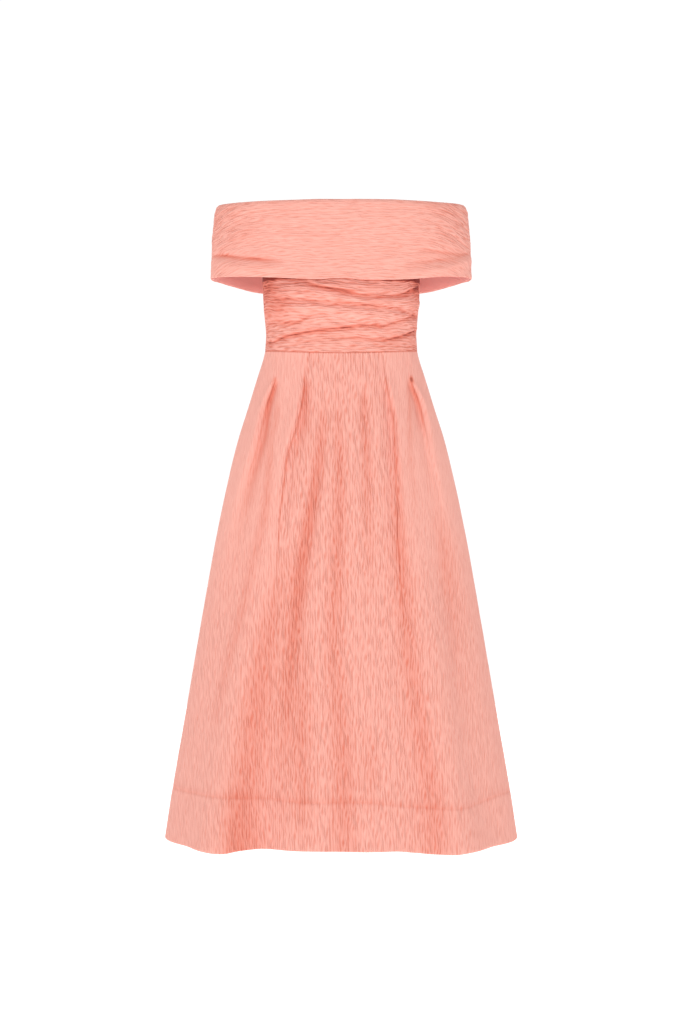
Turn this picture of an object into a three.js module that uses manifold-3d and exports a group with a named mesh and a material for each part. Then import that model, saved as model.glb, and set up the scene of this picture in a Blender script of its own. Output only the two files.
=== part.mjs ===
import * as THREE from 'three';
import { mergeVertices } from 'three/addons/utils/BufferGeometryUtils.js';
import Module from 'manifold-3d';

// An off-shoulder dress with its worn, hollow form: open at the neck, both arms and the hem.
// Millimetres, +Z up. The origin is the centre of the waist seam, the front faces -Y,
// and the wearer's left is +X. Angles are in degrees round +Z, from 0 at the front centre
// to 90 at the wearer's left side seam and 180 at the centre back.

const wasm = await Module();
wasm.setup();

// Driving sizes
const clothThickness = 2;
const liningThickness = 1;
const seamGap = 0.32;
const waistSideRise = 7;
const hem = { drop: 766, turnUp: 82, thickness: 3.4, step: 3 };
const sideSeam = 90;
const centreBack = 180;
const zipSlit = { start: 166, full: 194, halfWidth: 1.3 };

// A short table: its column names, then a row for each section or point of a fold
function table(names, ...rows) {
  return rows.map((row) => Object.fromEntries(names.map((name, i) => [name, row[i]])));
}

// Half-sizes of the skirt's plan at each height, and how square that plan is (2 is an ellipse)
const skirtSections = table(['z', 'halfWidth', 'halfDepth', 'squareness'],
  [-766, 281, 190, 2.25],
  [-697, 270.4, 184, 2.25],
  [-595, 252.8, 174, 2.25],
  [-492, 235.2, 163, 2.25],
  [-390, 217.6, 151, 2.2],
  [-287, 199.2, 138, 2.2],
  [-185, 177.6, 123, 2.15],
  [-134, 164.8, 114, 2.15],
  [-83, 148.8, 105, 2.1],
  [-31, 132.8, 96.5, 2.1],
  [-6, 124.8, 92.5, 2.1],
  [8, 121.4, 91, 2.1],
);

// The bodice goes on up inside the band to its upper edge
const bodiceSections = table(['z', 'halfWidth', 'halfDepth', 'squareness'],
  [-2, 121.8, 91, 2.1],
  [12, 121.4, 92.5, 2.1],
  [33, 120.2, 96, 2.15],
  [61, 122.4, 101, 2.2],
  [93, 124.8, 106.5, 2.2],
  [125, 125.6, 111, 2.2],
  [170, 125, 115.5, 2.2],
  [222, 122, 119.5, 2.2],
);
const bodiceTop = { underArm: 150, centre: 222, visible: 118 };

// The band's half-sizes at each share of its height, with the cloth rolled in at the top fold
const bandSections = table(['share', 'halfWidth', 'halfDepth'],
  [0, 208.5, 126],
  [0.3, 207.4, 126],
  [0.55, 206, 126],
  [0.78, 203.4, 125.4],
  [0.9, 201.4, 124.6],
  [0.965, 199.2, 123.4],
  [1, 195.5, 120.8],
);
const bandSquareness = 2.5;
const bandEdges = table(['angle', 'low', 'top'],
  [-90, 125.5, 241],
  [-75, 122.5, 238],
  [-45, 118.6, 235.5],
  [-28, 117.4, 235.5],
  [-10, 113.8, 236.4],
  [0, 113.6, 236.2],
  [11, 110.8, 236.5],
  [20, 112.4, 236.5],
  [30, 110.2, 236],
  [45, 114.2, 235.5],
  [75, 121.5, 238],
  [90, 125.5, 241],
  [112, 126, 239],
  [125, 123, 238.4],
  [132, 119.5, 238],
  [140, 114, 238],
  [148, 109.5, 238],
  [180, 106, 238],
  [212, 109.5, 238],
  [220, 115, 238],
  [228, 119.5, 238],
  [235, 122.5, 238.4],
  [248, 125, 239],
  [270, 125.5, 241],
);

// Pleats of the skirt front: stitched down to z -36 and then let out. x is the fold's edge,
// which faces the centre front; ridge and valley are its two sides, and reach is their width.
const pleatEdge = 4;
const frontPleats = [
  table(['z', 'x', 'ridge', 'valley', 'reach'],
    [-766, -252, 0, 0, 42], [-567, -215, 0, 1, 40], [-440, -192, 0, 2, 34], [-310, -171, 1.5, 3.5, 28],
    [-231, -157, 3, 5, 24], [-194, -148, 4, 6, 20], [-162, -138, 5, 6.5, 17], [-125, -128.5, 6, 7, 14],
    [-88, -121, 6, 7, 12], [-56, -110, 4.5, 5, 10], [-36, -103.5, 1.6, 1.2, 9], [0, -103, 1, 0.6, 8]),
  table(['z', 'x', 'ridge', 'valley', 'reach'],
    [-766, -112, 0, 0, 40], [-480, -104, 1, 1, 34], [-370, -101, 2, 2, 30], [-292, -98, 3.5, 3.5, 26],
    [-163, -84.5, 5.5, 5.5, 22], [-110, -69, 6.5, 6.5, 18], [-56, -59, 4.5, 4.5, 13],
    [-36, -58, 1.6, 1.2, 9], [0, -58, 1, 0.6, 8]),
  table(['z', 'x', 'ridge', 'valley', 'reach'],
    [-766, 139, 4, 6, 34], [-700, 136, 5, 6.5, 32], [-625, 125, 5, 6.5, 30], [-523, 110, 4.5, 6, 28],
    [-462, 101, 4.5, 6, 26], [-370, 94, 4.5, 6, 24], [-292, 88.5, 5, 6, 22], [-215, 87, 6, 6, 20],
    [-110, 83, 6.5, 6.5, 17], [-56, 70.5, 4.5, 4.5, 13], [-36, 68.5, 1.6, 1.2, 9], [0, 68, 1, 0.6, 8]),
  table(['z', 'x', 'ridge', 'valley', 'reach'],
    [-766, 250, 0, 0, 42], [-560, 212, 0, 1, 38], [-400, 184, 0, 2, 34], [-250, 157, 2, 3.5, 26],
    [-180, 145, 3.5, 5, 20], [-125, 135.5, 5, 6.5, 17], [-90, 128, 6, 7, 14], [-73, 123, 6, 6.5, 12],
    [-56, 116, 4.5, 5, 10], [-36, 109, 1.6, 1.2, 9], [0, 107, 1, 0.6, 8]),
];

// Soft folds and hem flutes of the skirt front. height is negative in a valley;
// left and right are the fold's widths on either side of its line.
const frontFolds = [
  table(['z', 'x', 'height', 'left', 'right'],
    [-766, -96, 0, 26, 26], [-640, -93, -2, 22, 24], [-549, -89, -4, 18, 20], [-420, -74, -6.5, 15, 17],
    [-272, -53, -6.5, 13, 15], [-189, -38, -5.5, 11, 13], [-117, -30, -3.5, 9, 11], [-60, -24, 0, 8, 8]),
  table(['z', 'x', 'height', 'left', 'right'],
    [-766, 0, 0, 26, 26], [-548, -4, -3, 20, 20], [-446, -13, -4.5, 17, 17], [-343, -7, -4.5, 15, 15],
    [-189, -2, -4, 12, 12], [-95, -5, -2, 10, 10], [-50, -5, 0, 8, 8]),
  table(['z', 'x', 'height', 'left', 'right'],
    [-400, 44, 0, 14, 14], [-277, 41, -3, 13, 13], [-199, 41, -4, 11, 12], [-85, 37, -2.5, 9, 9],
    [-45, 36, 0, 8, 8]),
  table(['z', 'x', 'height', 'left', 'right'],
    [-766, -186, 31, 44, 34], [-690, -178, 22, 40, 31], [-610, -170, 14, 34, 27], [-520, -158, 8, 28, 22],
    [-420, -142, 4, 24, 18], [-300, -118, 0, 20, 16]),
  table(['z', 'x', 'height', 'left', 'right'],
    [-766, -122, -21, 28, 36], [-690, -122, -16, 26, 32], [-610, -120, -11, 23, 28], [-520, -115, -7, 20, 23],
    [-420, -112, -3, 18, 20], [-330, -108, 0, 16, 18]),
  table(['z', 'x', 'height', 'left', 'right'],
    [-766, 176, 30, 34, 48], [-690, 172, 22, 32, 42], [-575, 158, 14, 28, 34], [-474, 142, 9, 24, 28],
    [-303, 118, 4, 20, 22], [-200, 104, 0, 16, 18]),
  table(['z', 'x', 'height', 'left', 'right'],
    [-766, 236, -3, 26, 26], [-653, 196, -7, 24, 24], [-576, 189, -7, 22, 24], [-475, 183, -6, 20, 24],
    [-344, 160, -3.5, 18, 22], [-250, 148, 0, 16, 18]),
  table(['z', 'x', 'height', 'left', 'right'],
    [-766, 40, 7, 44, 44], [-600, 38, 5, 36, 36], [-400, 30, 0, 28, 28]),
];

// Pleats and flutes of the skirt back, a little plainer than the front's
const backPleats = [
  table(['z', 'x', 'ridge', 'valley', 'reach'],
    [-766, -238, 0, 0, 42], [-480, -182, 2, 3, 32], [-280, -142, 3.5, 4.5, 26], [-140, -121, 5.5, 6, 20],
    [-90, -114, 5.5, 6, 16], [-56, -107, 4, 4, 12], [-36, -105, 1.6, 1.2, 9], [0, -104, 1, 0.6, 8]),
  table(['z', 'x', 'ridge', 'valley', 'reach'],
    [-766, -132, 3, 4, 40], [-480, -106, 3.5, 4, 30], [-280, -88, 4.5, 5, 24], [-140, -72, 6, 6, 19],
    [-90, -66, 6, 6, 16], [-56, -60, 4, 4, 12], [-36, -59, 1.6, 1.2, 9], [0, -58, 1, 0.6, 8]),
  table(['z', 'x', 'ridge', 'valley', 'reach'],
    [-766, 122, 3, 4, 40], [-480, 101, 3, 4, 30], [-280, 87, 4, 5, 24], [-140, 74, 5.5, 6, 19],
    [-90, 67, 6, 6, 16], [-56, 60, 4, 4, 12], [-36, 59, 1.6, 1.2, 9], [0, 58, 1, 0.6, 8]),
  table(['z', 'x', 'ridge', 'valley', 'reach'],
    [-766, 234, 0, 0, 42], [-480, 178, 2, 3, 32], [-280, 140, 3.5, 4.5, 26], [-140, 120, 5.5, 6, 20],
    [-90, 113, 5.5, 6, 16], [-56, 107, 4, 4, 12], [-36, 105, 1.6, 1.2, 9], [0, 104, 1, 0.6, 8]),
];
const backFolds = [
  table(['z', 'x', 'height', 'left', 'right'],
    [-766, -178, 24, 42, 38], [-600, -150, 12, 32, 30], [-440, -124, 5, 24, 22], [-280, -104, 0, 20, 18]),
  table(['z', 'x', 'height', 'left', 'right'],
    [-766, -86, -16, 30, 28], [-600, -72, -8, 26, 24], [-440, -58, -4, 20, 20], [-250, -44, 0, 16, 16]),
  table(['z', 'x', 'height', 'left', 'right'],
    [-766, 0, 12, 40, 40], [-560, 0, 5, 32, 32], [-360, 0, 0, 24, 24]),
  table(['z', 'x', 'height', 'left', 'right'],
    [-766, 92, -15, 28, 32], [-600, 76, -9, 24, 26], [-440, 62, -4, 20, 20], [-250, 48, 0, 16, 16]),
  table(['z', 'x', 'height', 'left', 'right'],
    [-766, 182, 23, 40, 42], [-600, 156, 11, 31, 32], [-440, 130, 5, 24, 22], [-280, 108, 0, 20, 18]),
];

// Folds draped across the bodice front, which gather at the wearer's left side seam
const bodiceFolds = [
  table(['x', 'z', 'height', 'width'],
    [-85, 116, 0, 6], [-61, 111.5, -2, 6], [-37, 103.5, -4, 6], [-12, 98.5, -4.5, 6], [14, 94, -4, 6],
    [33, 89.5, -3, 6], [61, 88.5, -2.5, 6], [92, 91.5, -4, 6], [110, 100, -4, 5], [122, 107, -2, 5]),
  table(['x', 'z', 'height', 'width'],
    [-112, 90, 0, 6], [-96, 87, -2, 6], [-75, 84.5, -2.5, 6], [-13, 78.5, -2.5, 6], [40, 74, -3, 6],
    [80, 71.5, -3.5, 5.5], [117, 63.5, -3.5, 5]),
  table(['x', 'z', 'height', 'width'],
    [-116, 50, -1, 6], [-90, 48, -3, 6], [-75, 47.5, -3, 6], [-52, 56, -2, 6], [-30, 64, 0, 6]),
  table(['x', 'z', 'height', 'width'],
    [-108, 19.5, -3, 6], [-91, 26.5, -4, 6], [-53, 32.5, -4, 6], [-17, 37, -4, 6], [3, 39, -4, 6],
    [40, 43, -3.5, 6], [65, 42.5, -3.5, 6], [88, 49.5, -4, 5.5], [117, 62, -3.5, 5]),
  table(['x', 'z', 'height', 'width'],
    [-72, 18, 0, 6], [-53, 20.5, -1.5, 6], [-13, 23.5, -2, 6], [40, 23, -2.5, 6], [73, 22.5, -3, 6],
    [92, 26.5, -4, 6], [120, 39, -4, 5]),
  table(['x', 'z', 'height', 'width'],
    [-100, 66, 0, 9], [-50, 70, 2.5, 10], [0, 63, 3, 10], [50, 58, 3, 9], [90, 58, 2.5, 7], [116, 56, 0, 6]),
  table(['x', 'z', 'height', 'width'],
    [-70, 94, 0, 7], [-20, 88, 2.5, 7], [50, 80, 2.5, 7], [92, 80, 3, 8], [116, 84, 2, 7]),
];

// Tucks that run in from the two ends of the band, each with a soft roll under it
const bandFolds = [
  table(['x', 'z', 'height', 'width'],
    [-206, 157, -2, 7], [-178, 152.5, -4, 7], [-161, 149, -3.5, 7], [-131, 145, -4, 7], [-106, 142.5, -2.5, 7],
    [-80, 141, 0, 7]),
  table(['x', 'z', 'height', 'width'],
    [-206, 140, 2, 10], [-165, 134, 4, 10], [-118, 130, 3, 10], [-70, 128, 0, 10]),
  table(['x', 'z', 'height', 'width'],
    [90, 162, 0, 7], [130, 160.5, -3.5, 7], [157, 156.5, -4, 7], [187, 157, -4, 7], [206, 164, -2, 7]),
  table(['x', 'z', 'height', 'width'],
    [80, 118, 0, 9], [118, 123, 3, 9], [165, 135, 5, 10], [199, 152, 3, 9], [206, 156, 1, 8]),
];

// A smooth line through one column of a table, level past its ends
function through(rows, along, name) {
  const keys = rows.map((row) => row[along]);
  const values = rows.map((row) => row[name]);
  const last = keys.length - 1;
  const rise = (i) => (values[i + 1] - values[i]) / (keys[i + 1] - keys[i]);
  const slopes = keys.map((_, i) => {
    if (i === 0 || i === last) return 0;
    const before = rise(i - 1);
    const after = rise(i);
    return before * after > 0 ? 2 * before * after / (before + after) : 0;
  });
  slopes[0] = rise(0);
  slopes[last] = rise(last - 1);
  return (at) => {
    if (at <= keys[0]) return values[0];
    if (at >= keys[last]) return values[last];
    let i = 0;
    while (at > keys[i + 1]) i += 1;
    const span = keys[i + 1] - keys[i];
    const t = (at - keys[i]) / span;
    const hold = (1 + 2 * t) * (1 - t) ** 2 * values[i] + t ** 2 * (3 - 2 * t) * values[i + 1];
    return hold + span * (t * (1 - t) ** 2 * slopes[i] - t ** 2 * (1 - t) * slopes[i + 1]);
  };
}

// Every column of a table as such a line
function lines(rows, along) {
  const names = Object.keys(rows[0]).filter((name) => name !== along);
  return Object.fromEntries(names.map((name) => [name, through(rows, along, name)]));
}

const radians = (angle) => angle * Math.PI / 180;
const mix = (a, b, share) => a + (b - a) * share;
const bell = (distance, width) => Math.exp(-((distance / width) ** 2));
const smoothStep = (low, high, at) => {
  const t = Math.min(Math.max((at - low) / (high - low), 0), 1);
  return t * t * (3 - 2 * t);
};

const skirtShape = lines(skirtSections, 'z');
const bodiceShape = lines(bodiceSections, 'z');
const bandShape = lines(bandSections, 'share');
const bandEdge = lines(bandEdges, 'angle');
const pleatLines = { front: frontPleats, back: backPleats };
const foldLines = { front: frontFolds, back: backFolds };
for (const side of ['front', 'back']) {
  pleatLines[side] = pleatLines[side].map((rows) => lines(rows, 'z'));
  foldLines[side] = foldLines[side].map((rows) => lines(rows, 'z'));
}
const bodiceFoldLines = bodiceFolds.map((rows) => lines(rows, 'x'));
const bandFoldLines = bandFolds.map((rows) => lines(rows, 'x'));

// A point of a rounded plan, and its outward direction
function planPoint(angle, halfWidth, halfDepth, squareness) {
  const s = Math.sin(radians(angle));
  const c = Math.cos(radians(angle));
  const k = (Math.abs(s) ** squareness + Math.abs(c) ** squareness) ** (-1 / squareness);
  const nx = Math.sign(s) * Math.abs(k * s) ** (squareness - 1) / halfWidth;
  const ny = -Math.sign(c) * Math.abs(k * c) ** (squareness - 1) / halfDepth;
  const length = Math.hypot(nx, ny);
  return { x: k * halfWidth * s, y: -k * halfDepth * c, nx: nx / length, ny: ny / length };
}

// The angle at which the front of a plan reaches x
function angleAt(x, halfWidth, squareness) {
  let low = -sideSeam;
  let high = sideSeam;
  for (let i = 0; i < 40; i += 1) {
    const middle = (low + high) / 2;
    if (planPoint(middle, halfWidth, 1, squareness).x < x) low = middle;
    else high = middle;
  }
  return (low + high) / 2;
}

// A pleat's step: a ridge on the side seam's side of its edge and a valley towards the centre
function pleatRelief(pleat, x, z) {
  const edge = pleat.x(z);
  const out = (x - edge) * Math.sign(edge);
  const reach = pleat.reach(z);
  const ridge = pleat.ridge(z) * bell(out, out > 0 ? reach : pleatEdge);
  return ridge - pleat.valley(z) * bell(out, out > 0 ? pleatEdge : reach);
}

function foldRelief(fold, x, z) {
  const off = x - fold.x(z);
  return fold.height(z) * bell(off, off < 0 ? fold.left(z) : fold.right(z));
}

// How far the skirt's folds stand out, which dies away at the side seams
function skirtRelief(angle, x, z) {
  const side = Math.cos(radians(angle)) > 0 ? 'front' : 'back';
  const pleats = pleatLines[side].reduce((sum, pleat) => sum + pleatRelief(pleat, x, z), 0);
  const folds = foldLines[side].reduce((sum, fold) => sum + foldRelief(fold, x, z), 0);
  return (pleats + folds) * smoothStep(0, 0.3, Math.abs(Math.cos(radians(angle))));
}

function crossRelief(folds, x, z) {
  return folds.reduce((sum, fold) => sum + fold.height(x) * bell(z - fold.z(x), fold.width(x)), 0);
}

// A point of a wall: depth is how far it lies inside the cloth's outer face
function wallPoint(plan, z, relief, depth) {
  const out = relief - depth;
  return new THREE.Vector3(plan.x + plan.nx * out, plan.y + plan.ny * out, z);
}

function skirtPoint(angle, z, depth) {
  const plan = planPoint(angle, skirtShape.halfWidth(z), skirtShape.halfDepth(z), skirtShape.squareness(z));
  return wallPoint(plan, z, skirtRelief(angle, plan.x, z), depth);
}

function bodicePoint(angle, z, depth) {
  const { halfWidth, halfDepth, squareness } = bodiceShape;
  const plan = planPoint(angle, halfWidth(z), halfDepth(z), squareness(z));
  const front = smoothStep(0, 0.2, Math.cos(radians(angle)));
  const relief = front * crossRelief(bodiceFoldLines, plan.x, z) * smoothStep(2, 12, z);
  return wallPoint(plan, z, relief, depth);
}

function bandPoint(angle, share, depth) {
  const plan = planPoint(angle, bandShape.halfWidth(share), bandShape.halfDepth(share), bandSquareness);
  const z = mix(bandEdge.low(angle), bandEdge.top(angle), share);
  const front = smoothStep(0, 0.15, Math.cos(radians(angle)));
  return wallPoint(plan, z, front * crossRelief(bandFoldLines, plan.x, z), depth);
}

const waistHeight = (angle) => waistSideRise * Math.sin(radians(angle)) ** 2;
const bodiceTopHeight = (angle) => {
  const share = smoothStep(0.2, 0.85, Math.abs(Math.cos(radians(angle))));
  return mix(bodiceTop.underArm, bodiceTop.centre, share);
};

// Half of the gap between two panels at a seam; the centre back opens round the zip's slider
function halfGap(seam, z) {
  if (seam !== centreBack) return seamGap / 2;
  return mix(seamGap / 2, zipSlit.halfWidth, smoothStep(zipSlit.start, zipSlit.full, z));
}

// The angle that stops a panel half a gap short of a seam; radius is the plan's reach there
function stopShort(seam, z, radius, towards) {
  return seam + towards * halfGap(seam, z) / radius * 180 / Math.PI;
}

// A panel's wall, closed round its edges. grid[row][column] holds an outer and an inner point.
function wall(grid) {
  const columns = grid[0].length;
  const rows = grid.length;
  const half = rows * columns;
  const points = [];
  for (const face of ['outer', 'inner']) {
    for (const row of grid) {
      for (const cell of row) points.push(cell[face].x, cell[face].y, cell[face].z);
    }
  }
  const at = (row, column) => row * columns + column;
  const faces = [];
  const quad = (a, b, c, d) => faces.push(a, b, c, a, c, d);
  for (let row = 0; row < rows - 1; row += 1) {
    for (let column = 0; column < columns - 1; column += 1) {
      const corners = [at(row, column), at(row, column + 1), at(row + 1, column + 1), at(row + 1, column)];
      const [a, b, c, d] = corners;
      quad(a, b, c, d);
      quad(a + half, d + half, c + half, b + half);
    }
  }
  const rim = (a, b) => quad(b, a, a + half, b + half);
  for (let column = 0; column < columns - 1; column += 1) {
    rim(at(0, column), at(0, column + 1));
    rim(at(rows - 1, column + 1), at(rows - 1, column));
  }
  for (let row = 0; row < rows - 1; row += 1) {
    rim(at(row + 1, 0), at(row, 0));
    rim(at(row, columns - 1), at(row + 1, columns - 1));
  }
  const geometry = new THREE.BufferGeometry();
  geometry.setAttribute('position', new THREE.Float32BufferAttribute(points, 3));
  geometry.setIndex(faces);
  geometry.computeVertexNormals();
  return geometry;
}

const evenly = (from, to, count) => Array.from({ length: count + 1 }, (_, i) => mix(from, to, i / count));

// Heights of the skirt's rows, closest round the pleats and at the hem's inner step
const skirtRows = [0, -16, -34, -46, -60, -82, -112, -150, -195, -250, -315, -385, -460, -540, -620,
  -hem.drop + hem.turnUp + hem.step, -hem.drop + hem.turnUp, -725, -hem.drop];

// Angles of a skirt panel's columns at one height: both sides of each pleat's edge, with
// even steps between them. steps has one more entry than the panel has pleats.
function skirtAngles(panel, z) {
  const halfWidth = skirtShape.halfWidth(z);
  const halfDepth = skirtShape.halfDepth(z);
  const radius = (seam) => (seam === centreBack ? halfWidth : halfDepth);
  const marks = [stopShort(panel.from, z, radius(panel.from), 1)];
  for (const pleat of panel.pleats) {
    const edge = pleat.x(z);
    const pair = [edge - pleatEdge, edge + pleatEdge].map((x) => {
      const angle = angleAt(x, halfWidth, skirtShape.squareness(z));
      return panel.back ? (360 + centreBack - angle) % 360 : angle;
    });
    marks.push(...pair.sort((a, b) => a - b));
  }
  marks.push(stopShort(panel.to, z, radius(panel.to), -1));
  const angles = [marks[0]];
  panel.steps.forEach((count, i) => {
    angles.push(...evenly(marks[2 * i], marks[2 * i + 1], count).slice(1));
    if (2 * i + 2 < marks.length) angles.push(marks[2 * i + 2]);
  });
  return angles;
}

function skirtPanel(panel) {
  const grid = skirtRows.map((height) => {
    const turnedUp = height <= -hem.drop + hem.turnUp;
    const depth = turnedUp ? hem.thickness : clothThickness;
    return skirtAngles(panel, height).map((angle) => {
      const z = height === 0 ? waistHeight(angle) - seamGap / 2 : height;
      return { outer: skirtPoint(angle, z, 0), inner: skirtPoint(angle, z, depth) };
    });
  });
  return wall(grid.reverse());
}

const skirtPanels = {
  skirt_front: { from: -90, to: 90, pleats: pleatLines.front, steps: [4, 6, 9, 5, 4] },
  skirt_back_left: { from: 90, to: 180, pleats: pleatLines.back.slice(2).reverse(), steps: [3, 5, 4], back: true },
  skirt_back_right: { from: 180, to: 270, pleats: pleatLines.back.slice(0, 2).reverse(), steps: [4, 5, 3], back: true },
};

// A bodice panel: close rows where it shows, and fewer above, inside the band
function bodicePanel({ from, to, columns, shownRows, hiddenRows }) {
  const columnAt = (share, z) => {
    const radius = (seam) => (seam === centreBack ? bodiceShape.halfWidth(z) : bodiceShape.halfDepth(z));
    return mix(stopShort(from, z, radius(from), 1), stopShort(to, z, radius(to), -1), share);
  };
  const shares = evenly(0, 1, columns);
  const row = (heightAt) => shares.map((share) => {
    const z = heightAt(mix(from, to, share));
    const angle = columnAt(share, z);
    return { outer: bodicePoint(angle, z, 0), inner: bodicePoint(angle, z, clothThickness) };
  });
  const shown = evenly(0, 1, shownRows).map((share) => (
    row((angle) => mix(waistHeight(angle) + seamGap / 2, bodiceTop.visible, share))
  ));
  const hidden = evenly(0, 1, hiddenRows).slice(1).map((share) => (
    row((angle) => mix(bodiceTop.visible, bodiceTopHeight(angle), share))
  ));
  return wall([...shown, ...hidden]);
}

const bodicePanels = {
  bodice_front: { from: -90, to: 90, columns: 24, shownRows: 16, hiddenRows: 3 },
  bodice_back_left: { from: 90, to: 180, columns: 8, shownRows: 5, hiddenRows: 4 },
  bodice_back_right: { from: 180, to: 270, columns: 8, shownRows: 5, hiddenRows: 4 },
};

// One layer of the band: depth is where its outer face lies below the band's own
function bandLayer({ from, to, columns }, shares, depth, thickness) {
  return wall(shares.map((share) => evenly(0, 1, columns).map((across) => {
    const z = mix(bandEdge.low(from), bandEdge.top(from), share);
    const radius = (seam) => (seam === centreBack ? bandShape.halfWidth(share) : bandShape.halfDepth(share));
    const first = stopShort(from, z, radius(from), 1);
    const angle = mix(first, stopShort(to, z, radius(to), -1), across);
    return { outer: bandPoint(angle, share, depth), inner: bandPoint(angle, share, depth + thickness) };
  })));
}

const bandPanels = {
  front: { from: -90, to: 90, columns: 28 },
  back_left: { from: 90, to: 180, columns: 13 },
  back_right: { from: 180, to: 270, columns: 13 },
};
const bandShares = [0, 0.1, 0.2, 0.3, 0.4, 0.55, 0.74, 0.9, 0.965, 1];
// The lining keeps the band's rows, from just above its lower edge to just below its top fold
const liningShares = [0.008, ...bandShares.slice(1, 8)];

// The concealed zip behind the centre-back seam: a tape with its coil, a slider and a pull tab
const zip = { top: 204, bottom: -172, halfWidth: 13, thickness: 1.2, coilHalfWidth: 2.4, coilRise: 1.4, standOff: 0.6, rows: 24 };
const slider = { halfWidth: 3.6, low: 204.6, high: 215.6, thickness: 4.2, neckHalf: 0.7, eyeRadius: 3.2, holeRadius: 1.7 };
const pull = { barRadius: 1.1, armInner: 1.4, armOuter: 2.8, armDrop: 7, length: 24, halfWidth: 3.6, halfThickness: 0.8 };
const clearOfBand = 3.6;

function backDepth(z) {
  return z > 0 ? bodiceShape.halfDepth(z) : skirtPoint(centreBack, z, 0).y;
}

function zipTape() {
  const stations = [-zip.halfWidth, -zip.coilHalfWidth - 0.8, -zip.coilHalfWidth, zip.coilHalfWidth,
    zip.coilHalfWidth + 0.8, zip.halfWidth];
  const grid = evenly(zip.bottom, zip.top, zip.rows).map((z) => stations.map((x) => {
    const point = z > 0 ? bodicePoint : skirtPoint;
    const shape = z > 0 ? bodiceShape : skirtShape;
    const angle = centreBack - angleAt(x, shape.halfWidth(z), shape.squareness(z));
    const depth = clothThickness + seamGap + zip.standOff;
    const raised = Math.abs(x) <= zip.coilHalfWidth ? zip.coilRise : 0;
    return { outer: point(angle, z, depth), inner: point(angle, z, depth + zip.thickness + raised) };
  }));
  return wall(grid.map((row) => row.reverse()));
}

function solid(geometry) {
  const bare = geometry.clone();
  bare.deleteAttribute('normal');
  bare.deleteAttribute('uv');
  const merged = mergeVertices(bare, 1e-4);
  const vertProperties = new Float32Array(merged.attributes.position.array);
  const triVerts = new Uint32Array(merged.index.array);
  return new wasm.Manifold(new wasm.Mesh({ numProp: 3, vertProperties, triVerts }));
}

function geometryOf(manifold) {
  const mesh = manifold.getMesh();
  const geometry = new THREE.BufferGeometry();
  geometry.setAttribute('position', new THREE.Float32BufferAttribute(mesh.vertProperties, 3));
  geometry.setIndex(Array.from(mesh.triVerts));
  geometry.computeVertexNormals();
  return geometry;
}

function boxBetween(low, high) {
  const size = low.map((value, i) => high[i] - value);
  const centre = low.map((value, i) => (high[i] + value) / 2);
  return solid(new THREE.BoxGeometry(...size).translate(...centre));
}

// A round bar along X
function barAlongX(radius, halfLength, y, z, sides) {
  const bar = new THREE.CylinderGeometry(radius, radius, 2 * halfLength, sides);
  return solid(bar.rotateZ(Math.PI / 2).translate(0, y, z));
}

const pivot = {
  y: bandShape.halfDepth(0.85) + clearOfBand,
  z: (slider.low + slider.high) / 2,
};

function zipSlider() {
  const inner = backDepth(slider.low) - clothThickness - slider.thickness;
  const { halfWidth, low, high, thickness, neckHalf, eyeRadius, holeRadius } = slider;
  const body = boxBetween([-halfWidth, inner - 1.5, low], [halfWidth, inner + thickness - 1.5, high]);
  const neck = boxBetween([-neckHalf, inner + thickness - 2, low + 2], [neckHalf, pivot.y, high - 2]);
  const eye = barAlongX(eyeRadius, neckHalf, pivot.y, pivot.z, 20);
  const hole = barAlongX(holeRadius, neckHalf * 3, pivot.y, pivot.z, 16);
  return geometryOf(body.add(neck).add(eye).subtract(hole));
}

function zipPull() {
  const { barRadius, armInner, armOuter, armDrop, length, halfWidth, halfThickness } = pull;
  const { y, z } = pivot;
  let tab = barAlongX(barRadius, armOuter, y, z, 12);
  for (const side of [-1, 1]) {
    const across = [side * armInner, side * armOuter].sort((a, b) => a - b);
    const low = [across[0], y - halfThickness, z - armDrop];
    tab = tab.add(boxBetween(low, [across[1], y + halfThickness, z]));
  }
  const outline = new THREE.Shape();
  outline.moveTo(-armOuter, z - armDrop + 1);
  outline.lineTo(-halfWidth, z - length + halfWidth);
  outline.absarc(0, z - length + halfWidth, halfWidth, Math.PI, 2 * Math.PI, false);
  outline.lineTo(armOuter, z - armDrop + 1);
  const plate = new THREE.ExtrudeGeometry(outline, {
    depth: 2 * halfThickness,
    bevelEnabled: false,
    curveSegments: 8,
  });
  plate.rotateX(Math.PI / 2).translate(0, y + halfThickness, 0);
  return geometryOf(tab.add(solid(plate)));
}

const crinkleCloth = { color: 0xf5a898, roughness: 0.78, metalness: 0, side: THREE.FrontSide };
const smoothLining = { color: 0xe89c92, roughness: 0.6, metalness: 0, side: THREE.FrontSide };
const tapeCloth = { color: 0xeaa094, roughness: 0.8, metalness: 0, side: THREE.FrontSide };
const zipMetal = { color: 0xe8a596, roughness: 0.4, metalness: 0.4, side: THREE.FrontSide };

function namedMesh(name, geometry, finish) {
  const mesh = new THREE.Mesh(geometry, new THREE.MeshStandardMaterial(finish));
  mesh.name = name;
  return mesh;
}

const dress = new THREE.Group();
for (const [name, panel] of Object.entries(skirtPanels)) {
  dress.add(namedMesh(name, skirtPanel(panel), crinkleCloth));
}
for (const [name, panel] of Object.entries(bodicePanels)) {
  dress.add(namedMesh(name, bodicePanel(panel), crinkleCloth));
}
for (const [name, panel] of Object.entries(bandPanels)) {
  dress.add(namedMesh(`band_${name}`, bandLayer(panel, bandShares, 0, clothThickness), crinkleCloth));
  const liningDepth = clothThickness + seamGap;
  const lining = bandLayer(panel, liningShares, liningDepth, liningThickness);
  dress.add(namedMesh(`band_lining_${name}`, lining, smoothLining));
}
dress.add(namedMesh('zip_tape', zipTape(), tapeCloth));
dress.add(namedMesh('zip_slider', zipSlider(), zipMetal));
dress.add(namedMesh('zip_pull', zipPull(), zipMetal));

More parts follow.
